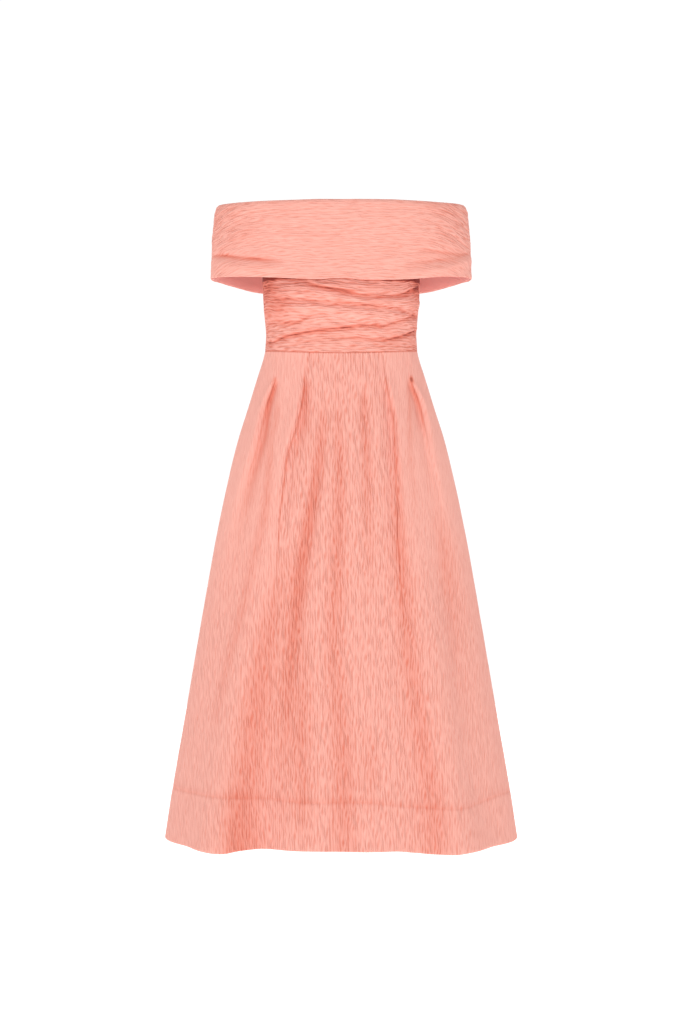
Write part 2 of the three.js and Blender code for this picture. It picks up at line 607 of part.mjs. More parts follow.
export default dress;
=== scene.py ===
import math
import bpy
import numpy as np
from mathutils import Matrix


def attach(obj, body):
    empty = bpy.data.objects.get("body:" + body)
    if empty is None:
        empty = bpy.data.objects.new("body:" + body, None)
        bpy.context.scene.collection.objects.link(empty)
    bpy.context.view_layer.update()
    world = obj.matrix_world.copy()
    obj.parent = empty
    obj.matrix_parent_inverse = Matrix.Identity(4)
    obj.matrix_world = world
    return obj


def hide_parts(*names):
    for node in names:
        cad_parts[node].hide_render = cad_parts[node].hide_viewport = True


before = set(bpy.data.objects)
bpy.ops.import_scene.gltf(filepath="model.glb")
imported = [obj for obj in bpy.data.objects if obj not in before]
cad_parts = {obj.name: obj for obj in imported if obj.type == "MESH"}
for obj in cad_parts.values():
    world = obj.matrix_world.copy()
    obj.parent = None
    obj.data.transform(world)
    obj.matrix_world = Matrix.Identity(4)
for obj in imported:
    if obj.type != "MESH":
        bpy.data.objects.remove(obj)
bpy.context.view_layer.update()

# An off-shoulder dress in crinkled cloth, hollow as worn. The shapes are worked out in
# millimetres, in the frame of the solids: waist seam at z 0, front towards -Y, and the
# wearer's left at +X. Angles are degrees round +Z: 0 front, 90 left side seam, 180 back.
mm = 0.001
sideSeam, centreBack = 90, 180


def table(names, *rows):  # a short table: column names, then a row for each section or point
    return {name: np.array([row[i] for row in rows], float) for i, name in enumerate(names)}


def through(keys, values):  # a smooth line through a column, level past its ends
    keys, values = np.asarray(keys, float), np.asarray(values, float)
    rise = np.diff(values) / np.diff(keys)
    product = rise[:-1] * rise[1:]
    total = np.where(product > 0, rise[:-1] + rise[1:], 1.0)
    inner = np.where(product > 0, 2 * product / total, 0.0)
    slopes = np.concatenate([rise[:1], inner, rise[-1:]])
    last = len(keys) - 2

    def line(at):
        at = np.asarray(at, float)
        i = np.clip(np.searchsorted(keys, at, "right") - 1, 0, last)
        span = keys[i + 1] - keys[i]
        t = np.clip((at - keys[i]) / span, 0, 1)
        hold = (1 + 2 * t) * (1 - t) ** 2 * values[i] + t ** 2 * (3 - 2 * t) * values[i + 1]
        return hold + span * (t * (1 - t) ** 2 * slopes[i] - t ** 2 * (1 - t) * slopes[i + 1])

    return line


def lines(rows, along):  # every column of a table as such a line
    return {name: through(rows[along], column) for name, column in rows.items() if name != along}


def linesOf(names, along, *tables):
    return [lines(table(names, *rows), along) for rows in tables]


def mix(a, b, share):
    return a + (b - a) * share


def bell(distance, width):
    return np.exp(-(distance / width) ** 2)


def smoothStep(low, high, at):
    t = np.clip((at - low) / (high - low), 0, 1)
    return t * t * (3 - 2 * t)


# The cut, as in the solids
cloth = {"thickness": 2.0, "liningThickness": 1.0, "seamGap": 0.32}
waistSideRise = 7.0
hem = {"drop": 766.0, "turnUp": 82.0, "thickness": 3.4, "step": 3.0}
zipSlit = {"start": 166.0, "full": 194.0, "halfWidth": 1.3}
skirtShape = lines(table(
    ("z", "halfWidth", "halfDepth", "squareness"),
    (-766, 281, 190, 2.25), (-697, 270.4, 184, 2.25), (-595, 252.8, 174, 2.25),
    (-492, 235.2, 163, 2.25), (-390, 217.6, 151, 2.2), (-287, 199.2, 138, 2.2),
    (-185, 177.6, 123, 2.15), (-134, 164.8, 114, 2.15), (-83, 148.8, 105, 2.1),
    (-31, 132.8, 96.5, 2.1), (-6, 124.8, 92.5, 2.1), (8, 121.4, 91, 2.1)), "z")
bodiceShape = lines(table(
    ("z", "halfWidth", "halfDepth", "squareness"),
    (-2, 121.8, 91, 2.1), (12, 121.4, 92.5, 2.1), (33, 120.2, 96, 2.15), (61, 122.4, 101, 2.2),
    (93, 124.8, 106.5, 2.2), (125, 125.6, 111, 2.2), (170, 125, 115.5, 2.2), (222, 122, 119.5, 2.2)), "z")
bodiceTop = {"underArm": 150.0, "centre": 222.0, "visible": 118.0}
bandShape = lines(table(
    ("share", "halfWidth", "halfDepth"),
    (0, 208.5, 126), (0.3, 207.4, 126), (0.55, 206, 126), (0.78, 203.4, 125.4),
    (0.9, 201.4, 124.6), (0.965, 199.2, 123.4), (1, 195.5, 120.8)), "share")
bandSquareness = 2.5
bandBack = ((112, 123.4, 239), (125, 120, 238.4), (132, 116.5, 238), (140, 112, 238), (148, 109.5, 238))
bandEdge = lines(table(
    ("angle", "low", "top"),
    (-90, 123.4, 241), (-75, 122.6, 238), (-45, 119.2, 235.5), (-28, 116, 235.5), (-10, 112.8, 236.4),
    (0, 114.6, 236.2), (11, 111.6, 236.5), (20, 112, 236.5), (30, 114, 236), (45, 119.2, 235.5),
    (60, 121.4, 236.4), (75, 122.6, 238), (90, 123.4, 241), *bandBack, (180, 106, 238),
    *((360 - angle, low, top) for angle, low, top in reversed(bandBack)), (270, 123.4, 241)), "angle")

# Pleats, stitched down and then let out. x is the fold's edge, which faces the centre.
pleatEdge, pleatCrease, softCrease, stitchedTo = 4.0, 2.4, 13.0, -36.0
pleatColumns = ("z", "x", "ridge", "valley", "reach")
pleatLines = {}
pleatLines["front"] = linesOf(
    pleatColumns, "z",
    ((-766, -252, 0, 0, 42), (-567, -215, 0, 1, 40), (-440, -192, 0, 2, 34), (-310, -171, 1.5, 3.5, 28),
     (-231, -157, 3, 5, 24), (-194, -148, 4, 6, 20), (-162, -138, 5, 6.5, 17), (-125, -128.5, 6, 7, 14),
     (-88, -121, 6, 7, 12), (-56, -110, 4.5, 5, 10), (-36, -103.5, 1.6, 1.2, 9), (0, -103, 1, 0.6, 8)),
    ((-766, -112, 0, 0, 40), (-480, -104, 1, 1, 34), (-370, -101, 2, 2, 30), (-292, -98, 3.5, 3.5, 26),
     (-163, -84.5, 5.5, 5.5, 22), (-110, -69, 6.5, 6.5, 18), (-56, -59, 4.5, 4.5, 13),
     (-36, -57.5, 1.6, 2, 9), (-18, -54, 1.2, 2, 8), (0, -50, 1, 2, 8)),
    ((-766, 139, 4, 6, 34), (-700, 136, 5, 6.5, 32), (-625, 125, 5, 6.5, 30), (-523, 110, 4.5, 6, 28),
     (-462, 101, 4.5, 6, 26), (-370, 94, 4.5, 6, 24), (-292, 88.5, 5, 6, 22), (-215, 87, 6, 6, 20),
     (-110, 83, 6.5, 6.5, 17), (-56, 73, 4.5, 4.5, 13), (-36, 69.5, 1.6, 2, 9), (-14, 66, 1.2, 2, 8),
     (0, 64, 1, 1, 8)),
    ((-766, 250, 0, 0, 42), (-560, 212, 0, 1, 38), (-400, 184, 0, 2, 34), (-250, 157, 2, 3.5, 26),
     (-180, 145, 3.5, 5, 20), (-125, 135.5, 5, 6.5, 17), (-90, 128, 6, 7, 14), (-73, 123, 6, 6.5, 12),
     (-56, 116, 4.5, 5, 10), (-36, 109, 1.6, 1.2, 9), (0, 107, 1, 0.6, 8)))
pleatLines["back"] = linesOf(
    pleatColumns, "z",
    ((-766, -238, 0, 0, 42), (-480, -182, 2, 3, 32), (-280, -142, 3.5, 4.5, 26), (-140, -121, 5.5, 6, 20),
     (-90, -114, 5.5, 6, 16), (-56, -107, 4, 4, 12), (-36, -105, 1.6, 1.2, 9), (0, -104, 1, 0.6, 8)),
    ((-766, -132, 3, 4, 40), (-480, -106, 3.5, 4, 30), (-280, -88, 4.5, 5, 24), (-140, -72, 6, 6, 19),
     (-90, -66, 6, 6, 16), (-56, -60, 4, 4, 12), (-36, -59, 1.6, 1.2, 9), (0, -58, 1, 0.6, 8)),
    ((-766, 122, 3, 4, 40), (-480, 101, 3, 4, 30), (-280, 87, 4, 5, 24), (-140, 74, 5.5, 6, 19),
     (-90, 67, 6, 6, 16), (-56, 60, 4, 4, 12), (-36, 59, 1.6, 1.2, 9), (0, 58, 1, 0.6, 8)),
    ((-766, 234, 0, 0, 42), (-480, 178, 2, 3, 32), (-280, 140, 3.5, 4.5, 26), (-140, 120, 5.5, 6, 20),
     (-90, 113, 5.5, 6, 16), (-56, 107, 4, 4, 12), (-36, 105, 1.6, 1.2, 9), (0, 104, 1, 0.6, 8)))

# The painted shade of each pleat: its dark line and where that ends, its wider band and how far that drifts
# towards the centre, the seam above and the slit. The look just below says where they lie outside the fold's
# edge.
pleatShadeLook = {"lineAt": -0.6, "lineWidth": 1.1, "bandAt": -1.0, "bandWidth": 1.6, "softBandWidth": 14.0,
             "bandShare": 0.6, "slitAt": 1.0, "slitWidth": 2.0, "slitHeight": 5.0}
# How much painted shade lies in each pleat's wider band, down from the waist
bandShade = {
    "long": through([-766, -300, -180, -40], [0.05, 0.07, 0.24, 0.46]),
    "faint": through([-766, -300, -170, -120, -40], [0, 0.02, 0.05, 0.15, 0.26]),
    "late": through([-766, -420, -290, -200, -120, -40], [0.15, 0.18, 0.22, 0.12, 0.04, 0.05]),
    "early": through([-766, -200, -140, -100, -40], [0.1, 0.06, 0.04, 0.18, 0.42]),
}
shadeColumns = ("line", "lineEnd", "band", "drift", "seam", "slit")
pleatShades = {
    "front": [dict(zip(shadeColumns, row)) for row in (
        (0.22, -170, bandShade["long"], 5.0, 0.0, 0.25), (0.32, -300, bandShade["faint"], 9.0, 0.45, 0.0),
        (0.24, -380, bandShade["late"], -4.0, 0.3, 0.0), (0.22, -110, bandShade["early"], 1.0, 0.0, 0.75))],
    "back": [dict(zip(shadeColumns, (0.22, -180, bandShade["long"], 3.0, 0.2, 0.2)))] * 4,
}

# Soft folds and hem flutes: height is negative in a valley, left and right are its widths
foldColumns = ("z", "x", "height", "left", "right")
foldLines = {}
foldLines["front"] = linesOf(
    foldColumns, "z",
    ((-766, -90, 0, 26, 26), (-640, -87, -2, 22, 24), (-549, -84, -4, 18, 20), (-420, -71, -6, 17, 17),
     (-340, -63, -6.5, 17, 18), (-272, -52, -6.5, 14, 15), (-189, -38, -5.5, 11, 13),
     (-117, -30, -3.5, 9, 11), (-60, -24, 0, 8, 8)),
    ((-766, 4, -3, 26, 26), (-640, 3, -4, 24, 24), (-548, -4, -3.5, 22, 22), (-446, -11, -3.5, 20, 20),
     (-343, -7, -4, 17, 17), (-189, -2, -4, 12, 12), (-95, -5, -2, 10, 10), (-50, -5, 0, 8, 8)),
    ((-400, 44, 0, 14, 14), (-277, 41, -2.2, 13, 13), (-199, 41, -3.2, 11, 11), (-130, 38, -4, 10, 9),
     (-85, 36, -4, 9, 9), (-45, 35, 0, 8, 8)),
    ((-766, -186, 31, 44, 34), (-690, -178, 22, 40, 31), (-610, -170, 14, 34, 27),
     (-520, -158, 8, 28, 22), (-420, -142, 4, 24, 18), (-300, -118, 0, 20, 16)),
    ((-766, -122, -21, 28, 36), (-690, -122, -16, 26, 32), (-610, -120, -11, 23, 28),
     (-520, -115, -7, 20, 23), (-420, -112, -3, 18, 20), (-330, -108, 0, 16, 18)),
    ((-766, 176, 30, 34, 48), (-690, 172, 22, 32, 42), (-575, 158, 14, 28, 34), (-474, 142, 9, 24, 28),
     (-303, 118, 4, 20, 22), (-200, 104, 0, 16, 18)),
    ((-766, 236, -3, 26, 26), (-653, 196, -7, 24, 24), (-576, 189, -7, 22, 24), (-475, 183, -6, 20, 24),
     (-344, 160, -3.5, 18, 22), (-250, 148, 0, 16, 18)),
    ((-766, 40, 7, 44, 44), (-600, 38, 5, 36, 36), (-400, 30, 0, 28, 28)))
foldLines["back"] = linesOf(
    foldColumns, "z",
    ((-766, -178, 24, 42, 38), (-600, -150, 12, 32, 30), (-440, -124, 5, 24, 22),
     (-280, -104, 0, 20, 18)),
    ((-766, -86, -16, 30, 28), (-600, -72, -8, 26, 24), (-440, -58, -4, 20, 20), (-250, -44, 0, 16, 16)),
    ((-766, 0, 12, 40, 40), (-560, 0, 5, 32, 32), (-360, 0, 0, 24, 24)),
    ((-766, 92, -15, 28, 32), (-600, 76, -9, 24, 26), (-440, 62, -4, 20, 20), (-250, 48, 0, 16, 16)),
    ((-766, 182, 23, 40, 42), (-600, 156, 11, 31, 32), (-440, 130, 5, 24, 22), (-280, 108, 0, 20, 18)))
# Where painted shade lies on the soft folds: the valleys, and the slope of the flute at the lower left
shadeLines = {}
shadeLines["front"] = foldLines["front"][:3] + linesOf(
    foldColumns, "z",
    ((-766, -158, -6.5, 18, 40), (-708, -155, -5.5, 20, 32), (-641, -146, -4, 22, 40),
     (-548, -136, -4.5, 20, 44), (-447, -118, -4, 20, 36), (-370, -98, -2.5, 20, 24),
     (-300, -88, 0, 16, 20)),
    ((-766, -58, 0, 20, 20), (-690, -60, -3, 18, 22), (-586, -60, -3.5, 18, 22), (-486, -56, -2, 16, 18),
     (-420, -52, 0, 14, 16)),
    ((-720, 48, 0, 16, 16), (-641, 45, -2.2, 16, 18), (-560, 40, 0, 14, 14)),
    ((-600, -198, 0, 12, 12), (-548, -188, -2.2, 12, 12), (-486, -176, -2.4, 12, 12),
     (-416, -157, -2.8, 12, 12), (-323, -137, -2.8, 12, 12), (-246, -118, -4, 11, 11),
     (-190, -113, -4, 10, 10), (-137, -109, -3, 9, 9), (-95, -101, -3.5, 7, 7), (-55, -100, 0, 6, 6)),
    ((-280, 116, 0, 9, 9), (-230, 113, -1.2, 9, 9), (-153, 107, -2.4, 8, 8), (-90, 108, -3.5, 7, 7),
     (-48, 107, -3, 5, 5), (-30, 107, 0, 4, 4)),
    ((-620, 190, 0, 24, 24), (-500, 184, -1, 24, 24), (-330, 166, -3, 18, 20), (-230, 150, 0, 14, 16)))
shadeLines["back"] = foldLines["back"]

# Folds draped across the bodice, and tucks at the two ends of the band
crossColumns = ("x", "z", "height", "width")
bodiceFolds = linesOf(
    crossColumns, "x",
    ((-85, 116, 0, 6), (-61, 111.5, -2, 6), (-37, 103.5, -4, 6), (-12, 98.5, -4.5, 6), (14, 94, -4, 6),
     (33, 89.5, -3, 6), (61, 88.5, -2.5, 6), (92, 91.5, -3, 6), (110, 100, -3.8, 5), (122, 107, -3, 5)),
    ((-112, 90, 0, 6), (-96, 87, -2, 6), (-75, 84.5, -2.5, 6), (-13, 78.5, -2.5, 6), (40, 74, -3, 6),
     (80, 71.5, -2.6, 5.5), (117, 63.5, -2.4, 5)),
    ((-116, 50, -1, 6), (-90, 48, -3, 6), (-75, 47.5, -3, 6), (-52, 56, -2, 6), (-30, 64, 0, 6)),
    ((-108, 19.5, -3, 6), (-91, 26.5, -4, 6), (-53, 32.5, -4, 6), (-17, 37, -4, 6), (3, 39, -4, 6),
     (40, 43, -3.5, 6), (65, 42.5, -3.5, 6), (88, 49.5, -3, 5.5), (117, 62, -2.6, 5)),
    ((-72, 18, 0, 6), (-53, 20.5, -1.5, 6), (-13, 23.5, -2, 6), (40, 23, -2.5, 6), (73, 22.5, -3, 6),
     (92, 26.5, -4, 5), (120, 39, -4, 5)),
    ((-100, 66, 0, 9), (-50, 70, 2.5, 10), (0, 63, 3, 10), (50, 58, 3, 9), (90, 58, 2.5, 7), (116, 56, 0, 6)),
    ((-70, 94, 0, 7), (-20, 88, 2.5, 7), (50, 80, 2.5, 7), (92, 80, 3, 8), (116, 84, 2, 7)))
bandFolds = linesOf(
    crossColumns, "x",
    ((-206, 157, -1.8, 5), (-178, 152.5, -2.8, 5), (-161, 149, -2.2, 5), (-131, 145, -3, 5),
     (-112, 142.5, -2, 6), (-90, 141, 0, 6)),
    ((-206, 140, 0, 10), (-165, 134, 3.5, 10), (-118, 130, 3, 10), (-70, 128, 0, 10)),
    ((112, 161, 0, 5), (135, 159, -1.4, 5), (157, 156.5, -1.8, 5), (187, 156, -1.8, 5), (206, 161, -0.8, 5)),
    ((96, 136, 0, 9), (130, 140, -1.2, 9), (165, 147, -1.6, 9), (190, 150, 0, 9)),
    ((80, 118, 0, 9), (118, 123, 2.5, 9), (165, 133, 4, 10), (199, 148, 2.5, 9), (206, 152, 1, 8)))


def planPoint(angle, halfWidth, halfDepth, squareness):  # a point of a rounded plan, and which way is out
    s, c = np.sin(np.radians(angle)), np.cos(np.radians(angle))
    k = (np.abs(s) ** squareness + np.abs(c) ** squareness) ** (-1 / squareness)
    nx = np.sign(s) * np.abs(k * s) ** (squareness - 1) / halfWidth
    ny = -np.sign(c) * np.abs(k * c) ** (squareness - 1) / halfDepth
    length = np.hypot(nx, ny)
    return k * halfWidth * s, -k * halfDepth * c, nx / length, ny / length


def angleAt(x, halfWidth, squareness):  # the angle at which the front of a plan reaches x
    low, high = np.full_like(x, -sideSeam), np.full_like(x, sideSeam)
    for _ in range(40):
        middle = (low + high) / 2
        short = planPoint(middle, halfWidth, 1.0, squareness)[0] < x
        low, high = np.where(short, middle, low), np.where(short, high, middle)
    return (low + high) / 2


def letOut(z):  # 0 near the waist, where a pleat is crisp, and 1 where it has opened out
    return smoothStep(-150, -420, z)


def pleatRelief(pleat, x, z):
    edge, reach = pleat["x"](z), pleat["reach"](z)
    out, crease = (x - edge) * np.sign(edge), mix(pleatCrease, softCrease, letOut(z))
    ridge = pleat["ridge"](z) * bell(out, np.where(out > 0, reach, crease))
    return ridge - pleat["valley"](z) * bell(out, np.where(out > 0, crease, reach))


def foldRelief(fold, x, z):
    off = x - fold["x"](z)
    return fold["height"](z) * bell(off, np.where(off < 0, fold["left"](z), fold["right"](z)))


def skirtRelief(angle, x, z, side):  # the relief, and the painted shade in its pleats and folds
    relief = sum(pleatRelief(pleat, x, z) for pleat in pleatLines[side])
    relief = relief + sum(foldRelief(fold, x, z) for fold in foldLines[side])
    fade = smoothStep(0, 0.3, np.abs(np.cos(np.radians(angle))))
    shade = sum(pleatShade(*pair, x, z) for pair in zip(pleatLines[side], pleatShades[side]))
    shade = shade + 0.3 * sum(foldShade(fold, x, z) for fold in shadeLines[side])
    return relief * fade, np.clip(shade * fade, 0, 1)


# Painted shade of a pleat
def pleatShade(pleat, toneAndShade, x, z, look=pleatShadeLook):  # crisp along the pleat's edge, fading into its valley
    edge, deep = pleat["x"](z), smoothStep(1.0, 5.5, pleat["valley"](z))
    out = (x - edge) * np.sign(edge)
    drift = toneAndShade["drift"] * smoothStep(-60, -130, z)
    inward = out - look["bandAt"] + drift
    outer = mix(look["bandWidth"] + 0.5 * np.abs(drift), look["softBandWidth"], letOut(z))
    valley = bell(inward, np.where(inward > 0, outer, pleat["reach"](z) * look["bandShare"]))
    crisp = bell(out - look["lineAt"], look["lineWidth"])
    crisp = crisp * smoothStep(toneAndShade["lineEnd"] - 60, toneAndShade["lineEnd"] + 20, z)
    opening = bell(z - stitchedTo + 4, look["slitHeight"]) * bell(out - look["slitAt"], look["slitWidth"])
    opening = opening * toneAndShade["slit"]
    started = mix(toneAndShade["seam"], 1.0, smoothStep(stitchedTo + 1, stitchedTo - 4, z))
    return (toneAndShade["band"](z) * deep * valley + toneAndShade["line"] * crisp) * started + opening


# painted shade in a fold's valley, deeper where the fold is deeper
def foldShade(fold, x, z):
    off = x - fold["x"](z)
    deep = np.clip(-fold["height"](z) / 6.5, 0, 1)
    return deep * bell(off, np.where(off < 0, fold["left"](z), fold["right"](z)) * 0.75)


def crossRelief(folds, x, z, crispness):  # crispness narrows a valley's upper side, where cloth laps over it
    relief, shade = 0, 0
    for fold in folds:
        height, off, width = fold["height"](x), z - fold["z"](x), fold["width"](x)
        crisp = crispness * smoothStep(-2, -4.5, height) + 1e-6
        relief = relief + height * bell(off, np.where(off > 0, width * (1 - 0.75 * crisp), width))
        relief = relief + 0.5 * crisp * np.abs(height) * bell(off - width * 0.7, width * 0.6)
        # painted shade along each valley, with a thin darker line where cloth laps over it
        deep = np.clip(-height / 5, 0, 1)
        shade = shade + deep * (0.32 * bell(off + 1, 3.2) + (0.12 + 0.5 * crisp) * bell(off - 0.4, 1.3))
    return relief, np.clip(shade, 0, 1)


# Crinkled cloth: seeded gradient noise, drawn out along the grain
def latticeNoise(x, y, seed):
    rng = np.random.default_rng(seed)
    turns = rng.random((256, 256)) * 2 * math.pi
    gx, gy = np.cos(turns), np.sin(turns)
    x0, y0 = np.floor(x).astype(int), np.floor(y).astype(int)
    fx, fy = x - x0, y - y0

    def corner(i, j):
        a, b = (x0 + i) % 256, (y0 + j) % 256
        return gx[a, b] * (fx - i) + gy[a, b] * (fy - j)

    sx, sy = fx ** 3 * (fx * (fx * 6 - 15) + 10), fy ** 3 * (fy * (fy * 6 - 15) + 10)
    low, high = mix(corner(0, 0), corner(1, 0), sx), mix(corner(0, 1), corner(1, 1), sx)
    return mix(low, high, sy) * 1.5


wanderSpacing, wanderLength = 16.0, 60.0


def crinkle(across, along, seed, look):  # height in millimetres, and 1 in a crease
    wander = latticeNoise(across / wanderSpacing, along / wanderLength, seed) * look["wander"]
    slip = latticeNoise(across / (look["spacing"] * 2.3), along / (look["length"] * 4), seed + 4)
    slip = slip * look["slip"]
    a, b = across / look["spacing"] + wander, along / look["length"] + slip
    first = np.abs(latticeNoise(a, b, seed + 1))
    second = np.abs(latticeNoise(a * 1.7 + 31, b * 1.5 + 7, seed + 2))
    puff = np.sqrt(first + 0.01) * 0.75 + np.sqrt(second + 0.01) * 0.35
    swellAt = across / look["swellSpacing"] + wander, along / look["swellLength"] + slip / 3
    swell = latticeNoise(*swellAt, seed + 3)
    # where painted shade goes: 1 in a crease of the crinkle
    crease = 1 - smoothStep(0.0, 0.28, first)
    return look["depth"] * (puff - 0.55) + look["swell"] * swell, crease


# Meshes: a wall has an outer grid of points and a coarser inner one, closed round its edges
def meshObject(name, points, faces, clothUv=None, marks=None):
    mesh = bpy.data.meshes.new(name)
    mesh.from_pydata((np.asarray(points) * mm).tolist(), [], faces)
    mesh.validate()
    mesh.shade_smooth()
    if clothUv is not None:
        corners = np.zeros(len(mesh.loops), int)
        mesh.loops.foreach_get("vertex_index", corners)
        layer = mesh.uv_layers.new(name="cloth")
        layer.data.foreach_set("uv", (np.asarray(clothUv) * mm)[corners].ravel())
    for mark, values in (marks or {}).items():
        mesh.attributes.new(mark, "FLOAT", "POINT").data.foreach_set("value", values)
    piece = bpy.data.objects.new(name, mesh)
    bpy.context.scene.collection.objects.link(piece)
    return piece


def clothWall(name, outer, inner, innerRows, clothUv, crease, pucker=1.0):  # innerRows: rows that inner keeps
    rows, columns = outer.shape[:2]
    middle = (outer[[0, -1]] + inner[[0, -1]]) / 2
    middle[0] += roundOff(outer[0] - outer[1], outer[0] - inner[0])
    middle[1] += roundOff(outer[-1] - outer[-2], outer[-1] - inner[-1])
    count = rows * columns
    innerStart, rimStart = count, count + len(innerRows) * columns
    points = np.concatenate([outer.reshape(-1, 3), inner.reshape(-1, 3), middle.reshape(-1, 3)])
    r, c = np.meshgrid(np.arange(rows - 1), np.arange(columns - 1), indexing="ij")
    a = (r * columns + c).ravel()
    faces = np.stack([a, a + 1, a + columns + 1, a + columns], 1).tolist()
    r, c = np.meshgrid(np.arange(len(innerRows) - 1), np.arange(columns - 1), indexing="ij")
    a = innerStart + (r * columns + c).ravel()
    faces += np.stack([a, a + columns, a + columns + 1, a + 1], 1).tolist()
    lastOuter, lastInner = (rows - 1) * columns, innerStart + (len(innerRows) - 1) * columns
    for i in range(columns - 1):  # the lower and upper edges, rounded over
        low, high = rimStart + i, rimStart + columns + i
        faces.append((i + 1, i, low, low + 1))
        faces.append((low + 1, low, innerStart + i, innerStart + i + 1))
        faces.append((lastOuter + i, lastOuter + i + 1, high + 1, high))
        faces.append((high, high + 1, lastInner + i + 1, lastInner + i))
    for column, flip in ((0, False), (columns - 1, True)):  # the two side edges
        for j in range(len(innerRows) - 1):
            run = [k * columns + column for k in range(innerRows[j], innerRows[j + 1] + 1)]
            near, far = innerStart + j * columns + column, innerStart + (j + 1) * columns + column
            strip = [(near, run[k + 1], run[k]) for k in range(len(run) - 1)] + [(near, far, run[-1])]
            faces += [face[::-1] for face in strip] if flip else strip
        ends = [(column, rimStart + column, innerStart + column),
                (lastOuter + column, lastInner + column, rimStart + columns + column)]
        faces += [face[::-1] for face in ends] if not flip else ends
    spare = np.concatenate([clothUv[innerRows], clothUv[[0, -1]]]).reshape(-1, 2)
    uv = np.concatenate([clothUv.reshape(-1, 2), spare])
    lively = np.broadcast_to(pucker, crease.shape)
    # The crease mark carries painted shade; the pucker mark sets how strongly the puckers bump and paint
    # shade
    marks = {"crease": np.concatenate([crease.ravel(), np.zeros(len(spare))]),
             "pucker": np.concatenate([lively.ravel(), np.ones(len(spare))])}
    return meshObject(name, points, faces, uv, marks)


def roundOff(outward, across):  # how far an edge's middle stands out of it
    reach = np.linalg.norm(across, axis=-1, keepdims=True) * 0.4
    return outward / np.maximum(np.linalg.norm(outward, axis=-1, keepdims=True), 1e-6) * reach


def wallPoints(plan, z, out):
    x, y, nx, ny = plan
    return np.stack([x + nx * out, y + ny * out, z + 0 * x], -1)


def panelEdges(first, last, z, halfWidth, halfDepth):  # the angles of a panel's two side edges
    gap = cloth["seamGap"] / 2
    slit = mix(gap, zipSlit["halfWidth"], smoothStep(zipSlit["start"], zipSlit["full"], z))
    return [seam + side * np.degrees(slit / halfWidth if seam == centreBack else gap / halfDepth)
            for seam, side in ((first, 1), (last, -1))]


def sizesAt(shape, at):  # half width, half depth and, where the shape has it, squareness
    return [column(at) for column in shape.values()]


def evenly(low, high, count):
    return np.linspace(low, high, count + 1)


def everyFew(count, step, extra=()):  # the rows that a wall's coarser inner face keeps
    return sorted({0, count - 1, *range(0, count, step), *extra})


def waistHeight(angle):
    return waistSideRise * np.sin(np.radians(angle)) ** 2


def bodiceTopHeight(angle):
    share = smoothStep(0.2, 0.85, np.abs(np.cos(np.radians(angle))))
    return mix(bodiceTop["underArm"], bodiceTop["centre"], share)


def fromCentre(points, angles, centre):  # distance over the cloth from the front or back centre line
    steps = np.linalg.norm(np.diff(points[..., :2], axis=1), axis=-1)
    reach = np.concatenate([np.zeros((len(points), 1)), np.cumsum(steps, 1)], 1)
    start = [np.interp(centre, *row) for row in zip(angles, reach)]
    return reach - np.array(start)[:, None]


def awayFromEdges(reach, margin):  # 1 inside a panel, and 0 at its two side edges
    inward = np.minimum(reach - reach.min(1, keepdims=True), reach.max(1, keepdims=True) - reach)
    return smoothStep(0, margin, inward)


# Materials. The base colours are those of the cloth in an even light; their deep and darkest colours are
# painted shade.
def linear(code):  # an sRGB hex colour as linear values
    parts = [int(code[i:i + 2], 16) / 255 for i in (1, 3, 5)]
    return [c / 12.92 if c <= 0.04045 else ((c + 0.055) / 1.055) ** 2.4 for c in parts] + [1.0]


def addNode(tree, kind, inputs=None, output=0, **settings):  # an input is a value, or another node's output
    node = tree.nodes.new("ShaderNode" + kind)
    for name, value in settings.items():
        setattr(node, name, value)
    for name, value in (inputs or {}).items():
        if isinstance(value, bpy.types.NodeSocket):
            tree.links.new(value, node.inputs[name])
        else:
            node.inputs[name].default_value = value
    return node.outputs[output]


def puckerDepth(tree, uv, layer):  # wavy ribs that come and go: 0 on a rib's back, 1 in the crease beside it
    grid = addNode(tree, "VectorMath", {0: uv, 1: (1 / layer["across"], 1 / layer["along"], 1.0)},
                   operation="MULTIPLY")
    turn = addNode(tree, "SeparateXYZ", {0: grid})
    # Slanted, so that neighbouring ribs don't all begin and end in one row
    leaning = addNode(tree, "Math", {0: turn, 1: layer["slant"], 2: turn.node.outputs[1]},
                      operation="MULTIPLY_ADD")
    slanted = addNode(tree, "CombineXYZ", {0: turn, 1: leaning})
    spreads = []
    for stretch, shift, spread in layer["noises"]:
        moved = addNode(tree, "VectorMath", {0: slanted, 1: (*stretch, 1.0), 2: (shift, shift, 0.0)},
                        operation="MULTIPLY_ADD")
        noise = addNode(tree, "TexNoise", {"Vector": moved, "Scale": 1.0, "Detail": 0.0},
                        noise_dimensions="2D")
        spreads.append(addNode(tree, "MapRange", dict(enumerate((noise, *spread)))))
    sway, amount, streak = spreads
    swayed = addNode(tree, "Math", {0: turn, 1: sway}, operation="ADD")
    phase = addNode(tree, "Math", {0: swayed, 1: 2 * math.pi}, operation="MULTIPLY")
    sine = addNode(tree, "Math", {0: phase}, operation="SINE")
    wave = addNode(tree, "MapRange", {0: sine, 1: -1.0, 2: 1.0, 3: 1.0, 4: 0.0})
    return addNode(tree, "Math", {0: wave, 1: amount, 2: streak}, operation="MULTIPLY_ADD")


def weave(tree, uv, layer):  # fine even noise, from 0 to 1
    grid = addNode(tree, "VectorMath", {0: uv, 1: (1 / layer["across"], 1 / layer["along"], 1.0)},
                   operation="MULTIPLY")
    return addNode(tree, "TexNoise", {"Vector": grid, "Scale": 1.0, "Detail": layer["detail"]},
                   noise_dimensions="2D")


def plainMaterial(name, colour, surface):
    material = bpy.data.materials.new(name)
    material.use_nodes = True
    shader = material.node_tree.nodes["Principled BSDF"]
    shader.inputs["Base Color"].default_value = linear(colour)
    for socket, value in surface.items():
        shader.inputs[socket].default_value = value
    return material


